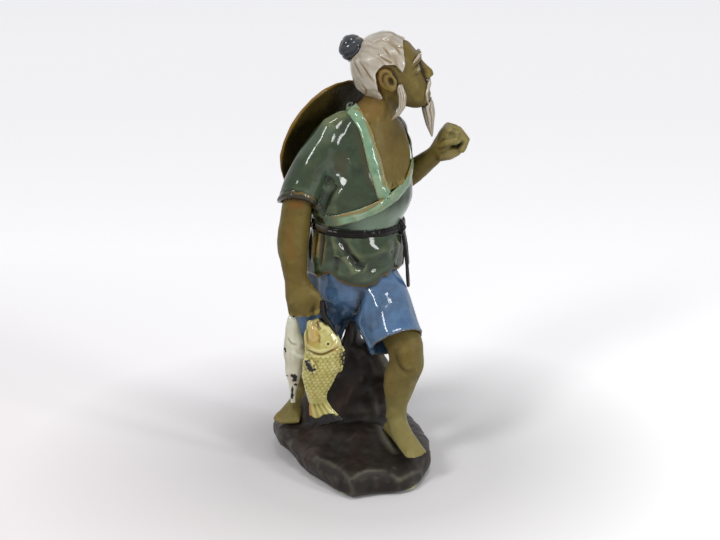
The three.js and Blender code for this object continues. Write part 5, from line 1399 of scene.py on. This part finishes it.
# %% Rock
rock = Form("rock", "rock_base", "rock_column", grain=1.1, spread=1.6, cap=0.6)
UNEVENNESS = [(0.8, 26, 41), (0.35, 12, 42), (0.17, 5, 43), (0.08, 2.6, 44)]
COLUMN_SIDE = [(371, 348), (377, 357), (383, 368), (387, 380)]
rough = sum(height * ripple(rock.points, size, seed) for height, size, seed in UNEVENNESS)
rock.push(rock.above(3, 9) * rough)
rock.draw(COLUMN_SIDE, 6, 5, fade=0)
RIDGES = [([(376, 424), (384, 437), (397, 455)], 2.6, 1.1, 0.8),
          ([(315, 457), (337, 468), (352, 481)], 2.2, 0.8, 0.15),
          ([(352, 481), (362, 473), (388, 471)], 2.0, 1.0, 0.35),
          ([(388, 471), (398, 479), (408, 475), (421, 471)], 2.0, 0.8, 0.25),
          ([(291, 439), (294, 451), (302, 463)], 2.2, 0.8, 0.2),
          ([(371, 388), (374, 402), (377, 418)], 2.6, 0.6, 0.4),
          ([(352, 385), (348, 397), (342, 408)], 3.0, 0.8, 0.1)]
for path, width, height, worn in RIDGES:
    rock.draw(path, width, height, pale=worn)
STAINS = [([(358, 414), (364, 410), (368, 417)], 4, 0.3, {"pale": 0.4}),
          ([(350, 388), (345, 398), (340, 405)], 4.5, 0, {"brown": 0.7}),
          ([(318, 435), (300, 440), (310, 455)], 9, 0, {"brown": 0.35})]
HOLLOWS = [[(365, 345), (368, 365), (366, 390)], [(357, 330), (352, 350), (355, 372)]]
for path, width, height, marks in STAINS:
    rock.draw(path, width, height, fade=0, **marks)
# The dark in these hollows is painted shade.
for path in HOLLOWS:
    rock.draw(path, 3.0, -1.0, deep=0.5)
rock.done(ROCK, crest=0.5)

# %% [markdown]
# Small felt pads are stuck under the base. Felt is pressed fibre: its edge is soft and its face is
# fuzzy, so each pad is a disc with a rounded rim and a fine unevenness.

# %% Felt pads
PAD_SIDES = 72
PAD_RIM = 0.3 * MM
SHARP = 1                   # radians, at the rims of the pad
FELT, felt_tree, felt_shader = new_coat("felt")
fibres = spread(felt_tree, noise(felt_tree, 0.5, 4), 0.3, 0.7)
lint = blend(felt_tree, fibres, colour(222, 226, 160), colour(196, 204, 122))
felt_tree.links.new(lint, felt_shader.inputs["Base Color"])
felt_shader.inputs["Roughness"].default_value = 0.95
felt_shader.inputs["Sheen Weight"].default_value = 0.3
dimple(felt_tree, felt_shader, noise(felt_tree, 0.4, 4), 0.6, 0.3)


def felt_pad(node):
    """A disc with rounded rims in the box of a node."""
    low, high = (Vector(corner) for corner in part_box(node))
    pad = bmesh.new()
    ring = bmesh.ops.create_circle(pad, cap_ends=True, segments=PAD_SIDES, radius=(high.x - low.x) / 2)
    middle = ((low.x + high.x) / 2, (low.y + high.y) / 2, low.z)
    bmesh.ops.translate(pad, verts=ring["verts"], vec=middle)
    walls = bmesh.ops.extrude_face_region(pad, geom=pad.faces[:])
    top = [part for part in walls["geom"] if isinstance(part, bmesh.types.BMVert)]
    bmesh.ops.translate(pad, verts=top, vec=(0, 0, high.z - low.z))
    rims = [edge for edge in pad.edges
            if len(edge.link_faces) == 2 and edge.calc_face_angle(0) > SHARP]
    bmesh.ops.bevel(pad, geom=rims, offset=PAD_RIM, affect="EDGES", segments=3, profile=0.5,
                    material=-1)
    bmesh.ops.recalc_face_normals(pad, faces=pad.faces)
    mesh = bpy.data.meshes.new(node + "_felt")
    pad.to_mesh(mesh)
    pad.free()
    piece = new_piece(node + "_felt", mesh)
    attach(piece, "root")
    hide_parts(node)
    coat_piece(piece, FELT)
    print(piece.name, len(mesh.polygons), "faces")


for place in ("front_left", "front_right", "back_left", "back_right"):
    felt_pad("felt_pad_" + place)

# %% [markdown]
# Glaze shows its form by what it mirrors. So the light is an even, pale room, a little darker low
# down, with three small bright panes that leave crisp marks on shoulders, lapels and folds. To the
# camera and in mirrors the room is brighter than it lights.

# %% Light
scene = bpy.context.scene
scene.view_settings.view_transform = "Standard"
ROOM_LOW, ROOM_HIGH = 0.18, 0.36
CHEST = Vector((0, 0, 0.17))
world = bpy.data.worlds.new("studio")
world.use_nodes = True
scene.world = world
room = world.node_tree
background = room.nodes["Background"]
background.inputs["Color"].default_value = colour(246, 246, 248)
direction = new_node(room, "TexCoord")
height_of = new_node(room, "SeparateXYZ")
room.links.new(direction.outputs["Generated"], height_of.inputs["Vector"])
strength = spread(room, height_of.outputs["Z"], -0.2, 0.7, ROOM_LOW, ROOM_HIGH)


def seen_or_mirrored(tree):
    """1 for what the camera sees, straight, in a mirror or through glass, and 0 for lighting."""
    path = new_node(tree, "LightPath")
    share = path.outputs["Is Camera Ray"]
    for kind in ("Is Glossy Ray", "Is Transmission Ray"):
        share = arithmetic(tree, "MAXIMUM", share, path.outputs[kind])
    return share


strength = arithmetic(room, "MAXIMUM", strength, seen_or_mirrored(room))
room.links.new(strength, background.inputs["Strength"])


def pane(name, place, wide, tall, radiance):
    """A bright window pane that faces the figure's chest."""
    data = bpy.data.lights.new(name, "AREA")
    data.shape = "RECTANGLE"
    data.size, data.size_y = wide, tall
    data.energy = radiance * math.pi * wide * tall
    light = bpy.data.objects.new(name, data)
    light.location = place
    light.rotation_euler = (CHEST - Vector(place)).to_track_quat("-Z", "Y").to_euler()
    scene.collection.objects.link(light)


pane("left_window", (-0.62, -0.80, 0.86), 0.20, 0.34, 25)
pane("right_window", (0.86, -0.62, 0.52), 0.14, 0.40, 20)
pane("top_lamp", (0.10, -0.42, 1.25), 0.36, 0.14, 19)

# %% [markdown]
# The floor is a sheet of white paper, with painted shade that makes it a little greyer at the left. It
# glows by itself, but only as the camera sees it, straight or mirrored in the glaze, so it stays near
# white and lights nothing. Near the figure it glows less, and so the shadow there is kept.

# %% Floor
FLOOR_SIZE = 3
GLOW_NEAR, GLOW_MIDDLE, GLOW_BEYOND = 0.03, 0.47, 0.1
NEAR, MIDDLE, BEYOND = 0.09, 0.25, 1.6          # in metres from the figure
sheet = bmesh.new()
bmesh.ops.create_grid(sheet, x_segments=1, y_segments=1, size=FLOOR_SIZE)
floor_mesh = bpy.data.meshes.new("floor")
sheet.to_mesh(floor_mesh)
sheet.free()
floor = new_piece("floor", floor_mesh)
PAPER, paper, paper_shader = new_coat("paper")
floor_mesh.materials.append(PAPER)
paper_shader.inputs["Roughness"].default_value = 0.9
paper_shader.inputs["Specular IOR Level"].default_value = 0.1
place = new_node(paper, "TexCoord")
sides = new_node(paper, "SeparateXYZ")
paper.links.new(place.outputs["Object"], sides.inputs["Vector"])
to_right = spread(paper, sides.outputs["X"], -0.35, 0.3)
to_back = spread(paper, sides.outputs["Y"], -0.1, 0.5)
# The grey towards the left is painted shade.
near_tone_with_painted_shade = blend(paper, to_right, colour(210, 204, 205), colour(246, 246, 246))
tone = blend(paper, to_back, near_tone_with_painted_shade, colour(247, 247, 249))
paper.links.new(tone, paper_shader.inputs["Base Color"])
paper.links.new(tone, paper_shader.inputs["Emission Color"])
flat = new_node(paper, "CombineXYZ")
paper.links.new(sides.outputs["X"], flat.inputs["X"])
paper.links.new(sides.outputs["Y"], flat.inputs["Y"])
from_figure = new_node(paper, "VectorMath", operation="LENGTH")
paper.links.new(flat.outputs[0], from_figure.inputs[0])
distance = from_figure.outputs["Value"]
glow = arithmetic(paper, "ADD", spread(paper, distance, NEAR, MIDDLE, GLOW_NEAR, GLOW_MIDDLE),
                  spread(paper, distance, MIDDLE, BEYOND, 0, GLOW_BEYOND))
seen_glow = arithmetic(paper, "MULTIPLY", glow, seen_or_mirrored(paper))
paper.links.new(seen_glow, paper_shader.inputs["Emission Strength"])
print("floor is", 2 * FLOOR_SIZE, "m wide")
